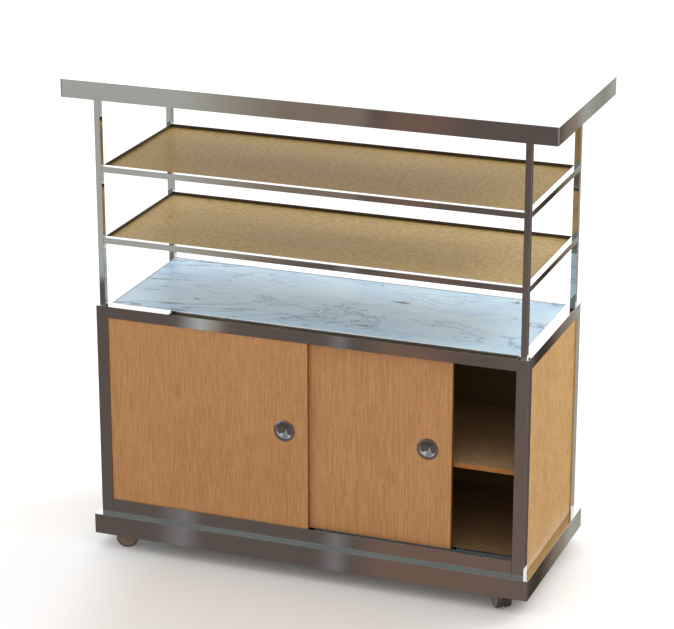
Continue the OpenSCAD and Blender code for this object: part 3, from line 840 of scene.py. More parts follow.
@dataclass
class Piece:
    """One finished piece that stands for CAD nodes.

    Attributes:
        name: the object's name.
        shape: its surface.
        finish: its material.
        nodes: the CAD nodes that it replaces, the first of which it rides with.
        slot: the record's material slot; not used.
        ease: width of a Bevel modifier on its edges, or 0.
        smooth: angle in degrees below which two faces are shaded as one, or 0.
        hidden: a second, darker material for the faces that inwards picks, which paints shade on
            them, or None.
        inwards: tells those faces from their middles and normals.
    """

    name: str
    shape: Shape
    finish: bpy.types.Material
    nodes: tuple[str, ...]
    slot: str
    ease: float = 0.0
    smooth: float = 0.0
    hidden: bpy.types.Material | None = None
    inwards: Callable[[Array, Array], Array] | None = None

    def place(self) -> bpy.types.Object:
        """Makes the object and binds it to the CAD.

        Returns:
            The object.
        """
        mesh = bpy.data.meshes.new(self.name)
        mesh.from_pydata(self.shape.points, [], self.shape.faces)
        mesh.validate()
        mesh.materials.append(self.finish)
        if self.hidden:
            mesh.materials.append(self.hidden)
            count = len(mesh.polygons)
            middles, normals = np.empty(3 * count), np.empty(3 * count)
            mesh.polygons.foreach_get("center", middles)
            mesh.polygons.foreach_get("normal", normals)
            mask = self.inwards(middles.reshape(-1, 3), normals.reshape(-1, 3))
            mesh.polygons.foreach_set("material_index", mask.astype(np.int32))
        if self.smooth:
            mesh.shade_smooth()
            mesh.set_sharp_from_angle(angle=np.radians(self.smooth))
        made = add_object(self.name, mesh)
        if self.ease:
            bevel = made.modifiers.new("eased_edges", "BEVEL")
            bevel.width, bevel.segments, bevel.limit_method = self.ease, EASE_STEPS, "ANGLE"
            bevel.angle_limit = np.radians(SHARP_EDGE)
        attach(made, frame["nodes"][self.nodes[0]]["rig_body"])
        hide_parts(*self.nodes)
        return made


def corners_of(node: str) -> tuple[Array, Array]:
    """Lowest and highest corner of a CAD node as arrays."""
    low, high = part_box(node)
    return np.array(low), np.array(high)


@dataclass
class Assembly:
    """A sub-assembly of the bar.

    Attributes:
        finishes: the bar's materials.
    """

    finishes: Finishes

    def pieces(self) -> Iterator[Piece]:
        """All its pieces."""
        raise NotImplementedError


@dataclass
class SteelFrame(Assembly):
    """Square corner tubes, top rails, and the header and sill that hold the doors.

    Attributes:
        tube_corner: outside corner radius of the tubes.
        tube_ease: radius of the edges at their ends.
        rail_ease: width of the bevel on the header's and sill's edges.
        doors_y: where the two door channels start and end behind the front face.
        ceiling: height of the header's channels above its lower edge.
        sag: how much lower the header's top lies at its front edge.
        track: depth of the sill's channels.
    """

    tube_corner: float = 0.6 * MM
    tube_ease: float = 0.45 * MM
    rail_ease: float = 0.35 * MM
    doors_y: tuple[float, ...] = (1.6 * MM, 20.4 * MM, 21.6 * MM, 38.4 * MM)
    ceiling: float = 25 * MM
    sag: float = 0.1 * MM
    track: float = 14 * MM

    def tube(self, node: str, finish: bpy.types.Material) -> Piece:
        """One square tube as an eased block in its node's box."""
        shape = eased_block(*corners_of(node), self.tube_ease, self.tube_corner)
        return Piece(node + "_tube", shape, finish, (node,), "polished_steel")

    def header(self) -> Piece:
        """Header rail: its section has two channels from below for the doors.

        Returns:
            The piece.
        """
        low, high = corners_of("header_rail")
        a, b, c, d = (low[1] + y for y in self.doors_y)
        z0, z1, top = low[2], high[2], low[2] + self.ceiling
        section = [(low[1], z0), (a, z0), (a, top), (b, top), (b, z0), (c, z0), (c, top)]
        section += [(d, top), (d, z0), (high[1], z0), (high[1], z1), (low[1], z1 - self.sag)]
        return self.channelled("header_rail", np.array(section), low, high)

    def sill(self) -> Piece:
        """Sill rail: its section has two channels from above that the doors run in.

        Returns:
            The piece.
        """
        low, high = corners_of("sill_rail")
        a, b, c, d = (low[1] + y for y in self.doors_y)
        z0, z1, bed = low[2], high[2], high[2] - self.track
        section = [(low[1], z0), (high[1], z0), (high[1], z1), (d, z1), (d, bed), (c, bed)]
        section += [(c, z1), (b, z1), (b, bed), (a, bed), (a, z1), (low[1], z1)]
        return self.channelled("sill_rail", np.array(section), low, high)

    def channelled(self, node: str, section: Array, low: Array, high: Array) -> Piece:
        """A section carried from end to end of its node's box.

        Args:
            node: the CAD node that it replaces.
            section: the section in (y, z), anticlockwise seen from +X.
            low: lowest corner of the box.
            high: highest corner of the box.

        Returns:
            The piece.
        """
        ends = (np.full(len(section), x) for x in (low[0], high[0]))
        shape, name, ease = carried_along_x(section, *ends), node + "_profile", self.rail_ease
        return Piece(name, shape, self.finishes.steel_x, (node,), "polished_steel", ease=ease)

    def pieces(self) -> Iterator[Piece]:
        """All pieces of the cabinet's frame."""
        for end in ("front", "back"):
            for side in ("left", "right"):
                yield self.tube(f"stile_{end}_{side}", self.finishes.steel_z)
        yield self.header()
        yield self.sill()
        yield self.tube("back_top_rail", self.finishes.steel_x)
        for side in ("left", "right"):
            yield self.tube("side_top_rail_" + side, self.finishes.steel_y)


@dataclass
class Skirt(Assembly):
    """Folded sheet round the castors, in four lengths that meet in mitres.

    Attributes:
        sheet: sheet thickness.
        ledge: width of the ledge on top.
        bend: outside radius of the fold, which is sharp inside.
        ease: width of the bevel on its edges.
    """

    sheet: float = 1.5 * MM
    ledge: float = 70 * MM
    bend: float = 0.5 * MM
    ease: float = 0.15 * MM

    def length(self, node: str, turn: float, finish: bpy.types.Material) -> Piece:
        """One mitred length, drawn facing the front and then turned.

        The section is an upright leg and a ledge, and each of its points ends as
        far in from the corner as it lies behind the outer face.

        Args:
            node: the CAD node that it replaces.
            turn: degrees about Z from the front.
            finish: its material.

        Returns:
            The piece.
        """
        low, high = corners_of(node)
        half, away = -low[0], -low[1]
        if node in ("skirt_left", "skirt_right"):
            half, away = -low[1], max(abs(low[0]), abs(high[0]))
        elif node == "skirt_back":
            away = high[1]
        z0, z1, t, r = low[2], high[2], self.sheet, self.bend
        section = np.concatenate(
            [
                [(-away, z0), (-away + t, z0), (-away + t, z1 - t)],
                [(-away + self.ledge, z1 - t), (-away + self.ledge, z1)],
                arc((-away + r, z1 - r), r, 90, 180, 4),
            ]
        )
        behind = section[:, 0] + away
        shape = carried_along_x(section, -half + behind, half - behind).turned(about_z(turn))
        return Piece(node + "_sheet", shape, finish, (node,), "polished_steel", ease=self.ease)

    def pieces(self) -> Iterator[Piece]:
        """The four lengths."""
        yield self.length("skirt_front", 0, self.finishes.steel_x)
        yield self.length("skirt_back", 180, self.finishes.steel_x)
        yield self.length("skirt_left", -90, self.finishes.steel_y)
        yield self.length("skirt_right", 90, self.finishes.steel_y)


@dataclass
class Boards(Assembly):
    """Oak panels, shelves and the marble, each an eased board in its node's box.

    Attributes:
        ease: radius of an oak board's edges.
        marble_ease: radius of the marble's edges.
        notch_gap: gap between the inner shelf and the back corner tubes.
    """

    ease: float = 0.9 * MM
    marble_ease: float = 0.6 * MM
    notch_gap: float = 0.3 * MM

    def board(self, node: str, finish: bpy.types.Material, slot: str, ease: float) -> Piece:
        """One board."""
        return Piece(node + "_board", eased_block(*corners_of(node), ease), finish, (node,), slot)

    def inner_shelf(self) -> Piece:
        """The shelf in the cabinet, whose front faces are painted darker as shade.

        Its outline, a rectangle less a notch round each back corner tube, is drawn
        at its underside and at its top and skinned.

        Returns:
            The piece.
        """
        low, high = corners_of("inner_shelf")
        x1, (y0, y1) = high[0], (low[1], high[1])
        xn, yn = corners_of("stile_back_right")[0][:2] - self.notch_gap
        half = np.array([(x1, y0), (x1, yn), (xn, yn), (xn, y1)])
        outline = np.concatenate([half, half[::-1] * (-1, 1)])
        return Piece(
            "inner_shelf_board",
            loft(lifted([outline, outline], (low[2], high[2]))),
            self.finishes.oak_inside,
            ("inner_shelf",),
            "oak",
            ease=self.ease,
            # Front faces take the darker oak: painted shade.
            hidden=self.finishes.oak_front_painted_shade,
            inwards=lambda middle, normal: normal[:, 1] < -0.5,
        )

    def pieces(self) -> Iterator[Piece]:
        """The boards: panels are painted darker inside as shade, and the inner shelf's front faces
        are painted darker as shade.
        """
        for node in ("side_panel_left", "side_panel_right", "back_panel"):
            panel = self.board(node, self.finishes.oak_panel, "oak", self.ease)
            # Faces towards the inside take the darker oak: painted shade.
            panel.hidden = self.finishes.oak_inner_painted_shade
            panel.inwards = lambda middle, normal: (middle * normal)[:, :2].sum(axis=1) < 0
            yield panel
        yield self.inner_shelf()
        yield self.board("lower_shelf_panel", self.finishes.oak_low, "oak", self.ease)
        yield self.board("upper_shelf_panel", self.finishes.oak_high, "oak", self.ease)
        yield self.board("marble_counter", self.finishes.marble, "marble", self.marble_ease)


@dataclass
class Doors(Assembly):
    """Two sliding doors, each with a round finger pull let into it.

    Attributes:
        ease: radius of a door's edges.
        rim: outside radius of the pull.
        cup: radius of the cup's outer wall.
        proud: how far the rim stands out.
        depth: depth of the cup.
        wall: wall of the cup.
        corner: outside radius between the cup's wall and floor.
        dish: how much deeper the cup's floor is on the axis than at its wall.
        fit: gap round the cup in its pocket.
        tip: radius of the small flat at the axis, on both sides of the cup's floor.
        parts: parts of a full turn that it is drawn with.
    """

    ease: float = 1.2 * MM
    rim: float = 37.5 * MM
    cup: float = 28.5 * MM
    proud: float = 1.0 * MM
    depth: float = 11 * MM
    wall: float = 0.8 * MM
    corner: float = 7 * MM
    dish: float = 6.2 * MM
    fit: float = 0.3 * MM
    tip: float = 0.4 * MM
    parts: int = 96

    def door(self, side: str) -> Piece:
        """One door with its pocket, in its node's box.

        Args:
            side: left or right.

        Returns:
            The piece.
        """
        low, high = corners_of("door_" + side)
        ring_low, ring_high = corners_of("pull_" + side)
        centre = ((ring_low + ring_high) / 2)[[0, 2]]
        shape = panel_with_pocket(
            low, high, centre, self.cup + self.fit, self.depth + self.fit, self.ease
        )
        name = f"door_{side}_leaf"
        return Piece(name, shape, self.finishes.oak_door, ("door_" + side,), "oak")

    def pull(self, side: str) -> Piece:
        """One finger pull, turned on a lathe.

        The profile runs from the axis under the cup's floor, round the outside and
        the rim, over the rim's rounded lip, down the inside wall and along the
        floor, which is a shallow cone that is deepest on the axis.

        Args:
            side: left or right.

        Returns:
            The piece.
        """
        low, high = corners_of("pull_" + side)
        centre = (low + high) / 2
        inner, floor = self.cup - self.wall, -self.depth + self.wall
        foot, lip = floor + self.dish, 0.5 * MM
        profile = np.concatenate(
            [
                [(self.tip, -self.depth)],
                arc((self.cup - self.corner, self.corner - self.depth), self.corner, -90, 0, 8),
                [(self.cup, -0.02 * MM), (self.rim - 0.3 * MM, 0.0)],
                [(self.rim - 0.05 * MM, 0.3 * MM), (self.rim - 0.3 * MM, self.proud - 0.15 * MM)],
                [(self.rim - 1.4 * MM, self.proud), (inner + 1.2 * MM, self.proud)],
                arc((inner + lip, self.proud - lip), lip, 90, 180, 4),
                [(inner - 0.1 * MM, foot + 0.9 * MM), (inner - 0.8 * MM, foot + 0.1 * MM)],
                [(inner - 1.8 * MM, foot - 0.25 * MM), (self.tip, floor)],
            ]
        )
        face = low[1] + self.proud
        shape = turned_on_lathe(profile, self.parts).turned(TO_FRONT)
        shape = shape.moved([centre[0], face, centre[2]])
        name, finish = f"finger_pull_{side}", self.finishes.pull
        return Piece(name, shape, finish, ("pull_" + side,), "pull_steel", smooth=35)

    def pieces(self) -> Iterator[Piece]:
        """Doors and pulls."""
        for side in ("left", "right"):
            yield self.door(side)
            yield self.pull(side)


@dataclass
class Gantry(Assembly):
    """Four slim posts and the welded frames of two shelves.

    Attributes:
        corner: outside corner radius of the tubes.
        ease: radius of the edges at their ends.
        tube: outside size of the tubes.
        weld: gap between a tube and the next, which stands for the weld.
        lip: width of the lip that carries a panel.
        lip_sheet: height of that lip's top above the lower side of the tubes.
        lip_rise: height of its lower side above theirs.
        lip_lap: how far it reaches into the tubes.
    """

    corner: float = 0.5 * MM
    ease: float = 0.4 * MM
    tube: float = 20 * MM
    weld: float = 0.2 * MM
    lip: float = 12 * MM
    lip_sheet: float = 2 * MM
    lip_rise: float = 0.3 * MM
    lip_lap: float = 0.5 * MM

    def post(self, node: str) -> Piece:
        """One post in its node's box."""
        shape = eased_block(*corners_of(node), self.ease, self.corner)
        return Piece(node + "_tube", shape, self.finishes.steel_z, (node,), "polished_steel")

    def shelf_frame(self, node: str) -> Piece:
        """Four tubes between the posts, and a lip carried round inside them, whose downward and
        inward faces are painted dark as shade.

        Args:
            node: the CAD node of the frame.

        Returns:
            The piece.
        """
        low, high = corners_of(node)
        s, gap, lap = self.tube, self.weld, self.lip_lap
        rails = []
        for y in (low[1], high[1] - s):
            rails.append(((low[0] + s + gap, y, low[2]), (high[0] - s - gap, y + s, high[2])))
        for x in (low[0], high[0] - s):
            rails.append(((x, low[1] + s + gap, low[2]), (x + s, high[1] - s - gap, high[2])))
        parts = [eased_block(a, b, self.ease, self.corner) for a, b in rails]
        inner = (high - low)[:2] / 2 - s
        z0, z1 = low[2] + self.lip_rise, low[2] + self.lip_sheet
        ring = np.array([(-self.lip, z0), (lap, z0), (lap, z1), (-self.lip, z1)])
        parts.append(carried_round(ring, inner))

        def inwards(middle: Array, normal: Array) -> Array:
            """Faces that look down or towards the middle of the shelf."""
            return (normal[:, 2] < -0.5) | ((middle * normal)[:, :2].sum(axis=1) < -0.1)

        return Piece(
            node + "_weldment",
            Shape.joined(parts),
            self.finishes.steel_x,
            (node,),
            "polished_steel",
            # Faces that look down or inwards take the dark steel: painted shade.
            hidden=self.finishes.steel_painted_shade,
            inwards=inwards,
        )

    def pieces(self) -> Iterator[Piece]:
        """Posts and shelf frames."""
        for end in ("front", "back"):
            for side in ("left", "right"):
                yield self.post(f"post_{end}_{side}")
        yield self.shelf_frame("lower_shelf_frame")
        yield self.shelf_frame("upper_shelf_frame")


@dataclass
class BarTop(Assembly):
    """Steel tray with round corners that forms the top and edge of the bar top.

    Attributes:
        corner: radius of the upright corners.
        sheet: sheet thickness.
        bend: outside radius along the top edge.
        rim: bevel of the lower edge.
        hold: how far from its bends a flat face is held flat.
    """

    corner: float = 5 * MM
    sheet: float = 1.5 * MM
    bend: float = 1.6 * MM
    rim: float = 0.3 * MM
    hold: float = 1.2 * MM

    def pieces(self) -> Iterator[Piece]:
        """The tray.

        Round rectangles run from its ceiling down the inside, out under the rim, up
        the outside and over the bend onto the top. Each ring is one inset and one
        height.
        """
        low, high = corners_of("bar_top_tray")
        mid, half = (low + high) / 2, (high - low) / 2
        t, r, rim, (foot, top) = self.sheet, self.bend, self.rim, (low[2], high[2])
        drop, bend = rounding(r, 5)
        insets = (t, t, t - rim, rim, 0.0, 0.0, *bend, r + self.hold)
        heights = (top - t, foot + rim, foot, foot, foot + rim, top - r - self.hold)
        outlines = [round_rectangle(half[:2], self.corner, i, 8, self.hold) for i in insets]
        shape = loft(lifted(outlines, (*heights, *(top - drop), top))).moved([*mid[:2], 0.0])
        steel = self.finishes.steel_x
        yield Piece("bar_top_shell", shape, steel, ("bar_top_tray",), "polished_steel", smooth=30)


@dataclass
class Castors(Assembly):
    """Twin wheels of the four castors: a dished hub and a tyre with round shoulders.

    Attributes:
        radius: radius of the wheel.
        hub: radius of the hub.
        width: width of one wheel.
        shoulder: radius of the tyre's shoulders.
        bore: radius of the blind bore.
        face: thickness left at the end of the bore.
        parts: parts of a full turn that a wheel is drawn with.
        yaw: how each castor happens to stand, in degrees.
    """

    radius: float = 37.5 * MM
    hub: float = 33.0 * MM
    width: float = 19.5 * MM
    shoulder: float = 2.5 * MM
    bore: float = 4.05 * MM
    face: float = 2.5 * MM
    parts: int = 72
    yaw: tuple[tuple[str, float], ...] = (
        ("front_left", -65.0),
        ("front_right", 35.0),
        ("back_left", -150.0),
        ("back_right", 130.0),
    )

    def hub_shape(self) -> Shape:
        """A dished hub: bore, inner face, rim, recess and a raised boss.

        Returns:
            The hub about Z, with its inner face at z = 0.
        """
        w, r, bed = self.width, self.hub, self.width - 0.8 * MM
        profile = [(0.3 * MM, w - self.face), (self.bore, w - self.face), (self.bore, 0.3 * MM)]
        profile += [(self.bore + 0.3 * MM, 0.0), (r - 0.4 * MM, 0.0), (r, 0.4 * MM)]
        profile += [(r, w - 0.6 * MM), (r - 0.6 * MM, w), (29 * MM, w)]
        profile += [(27.8 * MM, w - 0.3 * MM), (26.6 * MM, bed)]
        profile += [(14 * MM, bed), (12.8 * MM, bed + 0.3 * MM), (12 * MM, w - 0.2 * MM)]
        profile += [(11.2 * MM, w), (6 * MM, w), (0.3 * MM, w)]
        return turned_on_lathe(np.array(profile), self.parts)

    def tyre_shape(self) -> Shape:
        """A tyre: a flat tread between two round shoulders, closed inside at the hub.

        Returns:
            The tyre about Z, with its inner side at z = 0.
        """
        w, r, s = self.width, self.radius, self.shoulder
        inner = self.hub + 0.05 * MM
        profile = np.concatenate(
            [
                [(inner, 0.0)],
                arc((r - s, s), s, -90, 0, 6),
                [(r - 0.15 * MM, w / 2 - 1.2 * MM), (r - 0.15 * MM, w / 2 + 1.2 * MM)],
                arc((r - s, w - s), s, 0, 90, 6),
                [(inner, w)],
            ]
        )
        return turned_on_lathe(profile, self.parts, ring=True)

    def wheel(self, corner: str, yaw: float, number: int) -> Iterator[Piece]:
        """Hub and tyre of one wheel, set on its castor's axle.

        Args:
            corner: which castor.
            yaw: how it stands.
            number: 1 for the wheel on its left, 2 for the one on its right.

        Yields:
            The two pieces.
        """
        node = f"castor_{corner}_wheel_{number}"
        low, high = corners_of(node)
        side = (-1.0, 1.0)[number - 1]
        flip = np.diag([side, side, 1.0])
        turn = about_z(yaw) @ flip @ TO_SIDE
        place = (low + high) / 2 - about_z(yaw) @ np.array([side * self.width / 2, 0.0, 0.0])
        for part, shape, finish in (
            ("hub", self.hub_shape(), self.finishes.hub),
            ("tyre", self.tyre_shape(), self.finishes.tyre),
        ):
            put = shape.turned(turn).moved(place)
            yield Piece(f"{node}_{part}", put, finish, (node,), "castor_wheel", smooth=32)

    def pieces(self) -> Iterator[Piece]:
        """All eight wheels."""
        for corner, yaw in self.yaw:
            for number in (1, 2):
                yield from self.wheel(corner, yaw, number)


@dataclass
class KeptNodes:
    """CAD nodes whose shape is right and that only need their finish.

    Attributes:
        finishes: the bar's materials.
    """

    finishes: Finishes

    def finish_of(self, node: str) -> bpy.types.Material | None:
        """Chooses a node's finish by its name.

        Args:
            node: the CAD node's name.

        Returns:
            The finish, or None if a piece stands for the node.
        """
        f = self.finishes
        by_name = (
            (("cabinet_floor",), f.oak_floor_painted_shade),
            (("floor_bearers", "counter_board", "bar_top_board", "bar_top_ribs"), f.plywood),
            (("shelf_pegs", "castor_bolts", "bar_top_bolts"), f.bright),
            (("chassis_frame", "castor_plates", "counter_bars"), f.dark),
            (("door_left_glides", "door_right_glides"), f.nylon),
        )
        for names, finish in by_name:
            if node in names:
                return finish
        if node.endswith("_housing"):
            return f.castor_body
        if node.endswith("_axle"):
            return f.bright
        return None

    def dress(self, nodes: dict[str, bpy.types.Object]) -> list[str]:
        """Gives every shown node its finish.

        Args:
            nodes: the CAD nodes by name.

        Returns:
            Names of shown nodes that got none.
        """
        bare = []
        for name, node in nodes.items():
            finish = self.finish_of(name)
            if finish is None:
                bare += [] if node.hide_render else [name]
                continue
            for slot in node.material_slots:
                slot.material = finish
        return bare


@dataclass
class Studio:
    """Pale floor, soft light and the camera.

    What polished steel mirrors goes by its direction alone: by its bearing, in parts
    of a turn from the front towards the left, and by its height, from -1 straight
    down to 1 straight up. A span is where one look gives way to the next, and a
    window is two spans, where a look comes in and where it goes out again.

    Attributes:
        floor_half: half the floor's side.
        floor_colour: colour of the floor as it lights the bar.
        floor_seen: its colour near the bar, as the eye sees it, warmer as painted shade; further
            off it is white.
        floor_glow: how much brighter the eye sees it.
        far_glow: what that gains further off, as painted light.
        near_scale: how the floor is scaled to tell near from far.
        near_middle: middle of the near part in that scale.
        near_edge: span of the distance from it, in that scale, where near ends.
        sky: brightness of the upper surroundings.
        back_way: direction of the light part behind the bar.
        back_glow: what the brightness gains there.
        dim_sky: what steel mirrors of them in front of the bar and overhead.
        side_sky: what it mirrors of them low down on the other sides.
        ahead: window of the bearings where it mirrors dim_sky low down too.
        overhead: span of the heights where dim_sky begins on all sides.
        horizon: span of the heights between the lower and the upper surroundings.
        stripe_dark: darker colour of the stripes that it mirrors below the horizon.
        stripe_light: lighter colour of these.
        banded: window of the bearings with lighter bands, to the front.
        striped: window of the bearings with stripes, all but the front.
        right_back: window of the bearings that fade from light to dark.
        pit: span of the heights below which all is dark.
        deep: span of the heights where the lowest layer of bands ends.
        middle: the same for the middle layer, once the heights are tilted.
        key_watts: power of the large soft lamp behind the bar's right end.
        key_width: its diameter.
        key_at: where it hangs.
        key_aim: the point that it lights.
        camera_at: where the camera stands.
        camera_towards: the way it looks.
        lens: its focal length in millimetres.
        sensor: width of its sensor in millimetres.
        reach: how far it sees.
    """

    floor_half: float = 150.0
    floor_colour: Colour = (0.92, 0.912, 0.905)
    floor_seen: Colour = (0.968, 0.940, 0.900)
    floor_glow: float = 0.03
    far_glow: float = 0.09
    near_scale: Direction = (1.0, 0.35, 0.0)
    near_middle: Direction = (0.15, 0.0, 0.0)
    near_edge: Span = (0.60, 0.95)
    sky: float = 0.92
    back_way: Direction = (-0.33, 0.88, 0.34)
    back_glow: float = 0.75
    dim_sky: Colour = (0.30, 0.342, 0.335)
    side_sky: Colour = (0.72, 0.78, 0.86)
    ahead: Window = (0.010, 0.030, 0.085, 0.105)
    overhead: Span = (0.55, 0.75)
    horizon: Span = (-0.075, -0.055)
    stripe_dark: Colour = (0.13, 0.11, 0.10)
    stripe_light: Colour = (0.56, 0.57, 0.54)
    banded: Window = (0.028, 0.038, 0.080, 0.095)
    striped: Window = (0.16, 0.22, 0.90, 0.94)
    right_back: Window = (0.530, 0.538, 0.5465, 0.556)
    pit: Span = (-0.66, -0.52)
    deep: Span = (-0.400, -0.370)
    middle: Span = (-0.2908, -0.2896)
    key_watts: float = 105.0
    key_width: float = 3.2
    key_at: Direction = (3.3, 2.9, 3.1)
    key_aim: Direction = (0.0, 0.0, 0.7)
    camera_at: Direction = (2.8924, -7.6597, 3.7378)
    camera_towards: Direction = (-0.33365, 0.88156, -0.33397)
    lens: float = 139.05
    sensor: float = 36.0
    reach: float = 400.0

    def floor(self) -> None:
        """A wide pale plane that steel doesn't mirror and that is clear from below, painted warmer
        near the bar as shade.
        """
        made, bench = material("studio_floor", self.floor_colour)
        mottle = bench.noise(bench.space(), 3.0, 3.0)
        rays = bench.add("LightPath").outputs
        seen = bench.math("MAXIMUM", rays["Is Camera Ray"], rays["Is Transmission Ray"])
        aside = {0: bench.space(self.near_scale), 1: self.near_middle}
        away = bench.add("VectorMath", aside, operation="DISTANCE").outputs["Value"]
        # Near the bar the floor keeps a warmer colour, and further off it turns white and glows
        # more: painted shade around the bar.
        far = bench.between(away, *self.near_edge)
        near = bench.mix(mottle, dimmed(self.floor_seen, 0.99), self.floor_seen)
        own = bench.mix(far, near, WHITE)
        glow = bench.plus(self.floor_glow, bench.times(far, self.far_glow))
        top = bench.add(
            "BsdfPrincipled",
            {
                "Base Color": bench.mix(seen, self.floor_colour, own),
                "Roughness": 0.9,
                "Specular IOR Level": 0.0,
                "Emission Color": (*WHITE, 1.0),
                "Emission Strength": bench.times(seen, glow),
            },
        )
        below = bench.times(seen, bench.add("NewGeometry").outputs["Backfacing"])
        clear = bench.add("BsdfTransparent")
        both = bench.add("MixShader", {0: below, 1: top.outputs[0], 2: clear.outputs[0]})
        bench.add("OutputMaterial", {"Surface": both.outputs[0]})
        h = self.floor_half
        mesh = bpy.data.meshes.new("studio_floor")
        mesh.from_pydata([(-h, -h, 0), (h, -h, 0), (h, h, 0), (-h, h, 0)], [], [(0, 1, 2, 3)])
        mesh.materials.append(made)
        plane = add_object("studio_floor", mesh)
        plane.visible_glossy = False
        plane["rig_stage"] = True

    def lower_half(self, bench: Bench, bearing: object, z: object, around: object) -> object:
        """What polished steel mirrors below the horizon.

        To the front it is dim brown with lighter bands, in three layers by height.
        The bands lean, so they go by the bearing plus a little of the height. Behind
        to the right it fades from light to dark.

        Args:
            bench: the world's bench.
            bearing: the direction's bearing.
            z: its height.
            around: colour everywhere else.

        Returns:
            The colour's socket.
        """
        umber, dusk, russet = (0.150, 0.119, 0.106), (0.195, 0.150, 0.130), (0.228, 0.146, 0.110)
        tan, sand, pale = (0.290, 0.230, 0.176), (0.430, 0.400, 0.325), (0.538, 0.556, 0.515)
        slate, silver, shadow = (0.270, 0.260, 0.275), (0.590, 0.640, 0.640), (0.048, 0.036, 0.026)
        drab, gloom = (0.330, 0.335, 0.285), (0.10, 0.085, 0.08)
        lean = bench.times(bench.plus(z, 0.34), 0.019)
        slant = bench.plus(bearing, lean)
        upper = [(0.0455, umber), (0.0512, umber), (0.0530, russet), (0.0552, russet)]
        upper += [(0.0567, umber), (0.0577, tan), (0.0625, tan), (0.0662, sand), (0.0690, pale)]
        middle = [(0.0430, dusk), (0.0490, umber), (0.0520, russet), (0.0542, russet)]
        middle += [(0.0557, umber), (0.0566, umber), (0.0574, slate), (0.0582, umber)]
        middle += [(0.0648, umber), (0.0657, sand), (0.0665, silver), (0.0680, umber)]
        deep = [(0.0430, dusk), (0.0475, russet), (0.0530, russet), (0.0553, umber)]
        deep += [(0.0562, slate), (0.0573, umber), (0.0654, umber), (0.0665, slate)]
        deep += [(0.0683, umber)]
        right = [(0.5402, pale), (0.5406, drab), (0.5410, drab), (0.5420, pale), (0.5425, tan)]
        right += [(0.5430, tan), (0.5438, shadow), (0.5446, shadow), (0.5452, dusk)]
        front = bench.mix(
            bench.between(z, *self.deep), bench.ramp(slant, deep), bench.ramp(slant, middle)
        )
        tilted = bench.plus(z, bench.times(bearing, 0.4))
        front = bench.mix(bench.between(tilted, *self.middle), front, bench.ramp(slant, upper))
        colour = bench.mix(bench.window(bearing, *self.banded), umber, front)
        colour = bench.mix(bench.window(bearing, *self.striped), colour, around)
        behind = bench.window(bearing, *self.right_back)
        colour = bench.mix(behind, colour, bench.ramp(bearing, right))
        return bench.mix(bench.between(z, *self.pit), gloom, colour)

    def surroundings(self) -> None:
        """White all round for the eye, and a dimmer studio for polished steel.

        Below the horizon steel mirrors the lower half. Above it, it mirrors white
        behind the bar and a dim grey everywhere else.
        """
        world = bpy.data.worlds.new("soft_studio")
        bpy.context.scene.world = world
        world.use_nodes = True
        bench = Bench(world.node_tree)
        way = bench.add("TexCoord").outputs["Generated"]
        x, y, z = bench.add("SeparateXYZ", {0: way}).outputs
        turn = bench.math("DIVIDE", bench.math("ARCTAN2", x, y), 2 * np.pi)
        mirrored = bench.add("LightPath").outputs["Is Glossy Ray"]
        upright = bench.add("VectorMath", {0: way, 1: (1.0, 1.0, 0.12)}, operation="MULTIPLY")
        stripes = bench.noise(upright.outputs[0], 14.0, 2.0, 0.5)
        around = bench.mix(bench.between(stripes, 0.40, 0.60), self.stripe_dark, self.stripe_light)
        bearing = bench.plus(turn, 0.5)
        below = bench.mix(mirrored, WHITE, self.lower_half(bench, bearing, z, around))
        both = {0: way, 1: self.back_way}
        back = bench.add("VectorMath", both, operation="DOT_PRODUCT").outputs["Value"]
        wide = bench.times(bench.between(back, 0.68, 0.76), mirrored)
        glow = bench.math("MAXIMUM", bench.between(back, 0.80, 0.93), wide)
        level = bench.plus(bench.times(glow, self.back_glow), self.sky)
        above = bench.add("CombineXYZ", {0: level, 1: level, 2: level}).outputs[0]
        dim = bench.mix(bench.window(bearing, *self.ahead), self.side_sky, self.dim_sky)
        dim = bench.mix(bench.between(z, *self.overhead), dim, self.dim_sky)
        away = bench.minus(1.0, bench.between(back, 0.45, 0.75))
        above = bench.mix(bench.times(away, mirrored), above, dim)
        colour = bench.mix(bench.between(z, *self.horizon), below, above)
        light = bench.add("Background", {"Color": colour, "Strength": 1.0})
        bench.add("OutputWorld", {"Surface": light.outputs[0]})

    def aimed(self, data: bpy.types.ID, place: Direction, way: Vector) -> bpy.types.Object:
        """Puts a lamp or camera at a place, looking the given way.

        Args:
            data: the lamp or camera, whose name the object takes.
            place: where it goes.
            way: the direction that it looks in.

        Returns:
            The object.
        """
        made = add_object(data.name, data)
        made.location = place
        made.rotation_euler = way.to_track_quat("-Z", "Y").to_euler()
        return made

    def key(self) -> None:
        """A large soft lamp beyond the right end, a little behind the bar."""
        lamp = bpy.data.lights.new("soft_key", "AREA")
        lamp.shape, lamp.size, lamp.energy = "DISK", self.key_width, self.key_watts
        self.aimed(lamp, self.key_at, Vector(self.key_aim) - Vector(self.key_at))

    def camera(self) -> None:
        """The camera at the photograph's viewing angle."""
        data = bpy.data.cameras.new("camera")
        data.lens, data.sensor_width, data.clip_end = self.lens, self.sensor, self.reach
        scene = bpy.context.scene
        scene.camera = self.aimed(data, self.camera_at, Vector(self.camera_towards))
        scene.view_settings.view_transform = "Standard"

    def build(self) -> None:
        """Sets up all of it."""
        self.camera()
        self.floor()
        self.surroundings()
        self.key()


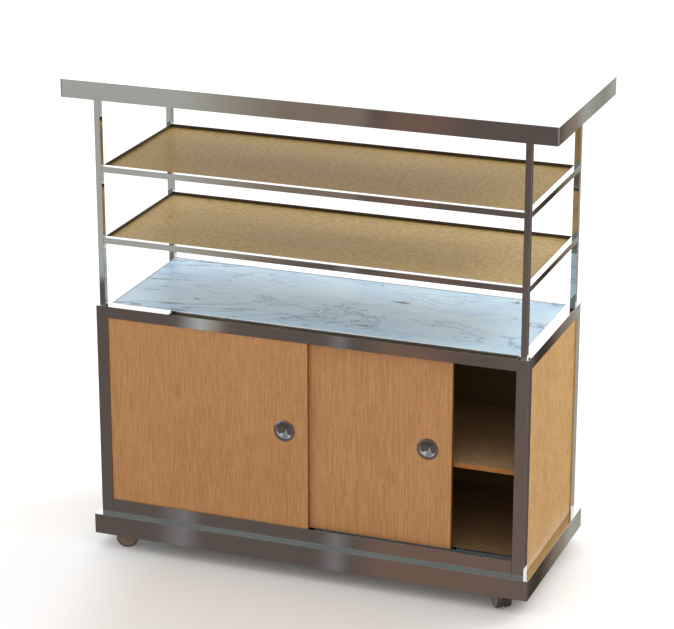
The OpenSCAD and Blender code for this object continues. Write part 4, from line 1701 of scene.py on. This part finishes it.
def main() -> None:
    """Builds the studio and every sub-assembly in order."""
    Studio().build()
    finishes = Finishes()
    for part in (SteelFrame, Skirt, Boards, Doors, Gantry, BarTop, Castors):
        for piece in part(finishes).pieces():
            made = piece.place()
            LOG.info("%s: %d faces", made.name, len(made.data.polygons))
    bare = KeptNodes(finishes).dress(frame["nodes"])
    if bare:
        LOG.warning("no finish for %s", ", ".join(bare))
    boxes = {"cad": cad_box, "visual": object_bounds()}
    {k: [list(c) for c in b] for k, b in boxes.items()}


if __name__ == "__main__":
    logging.basicConfig(level=logging.INFO)
    main()
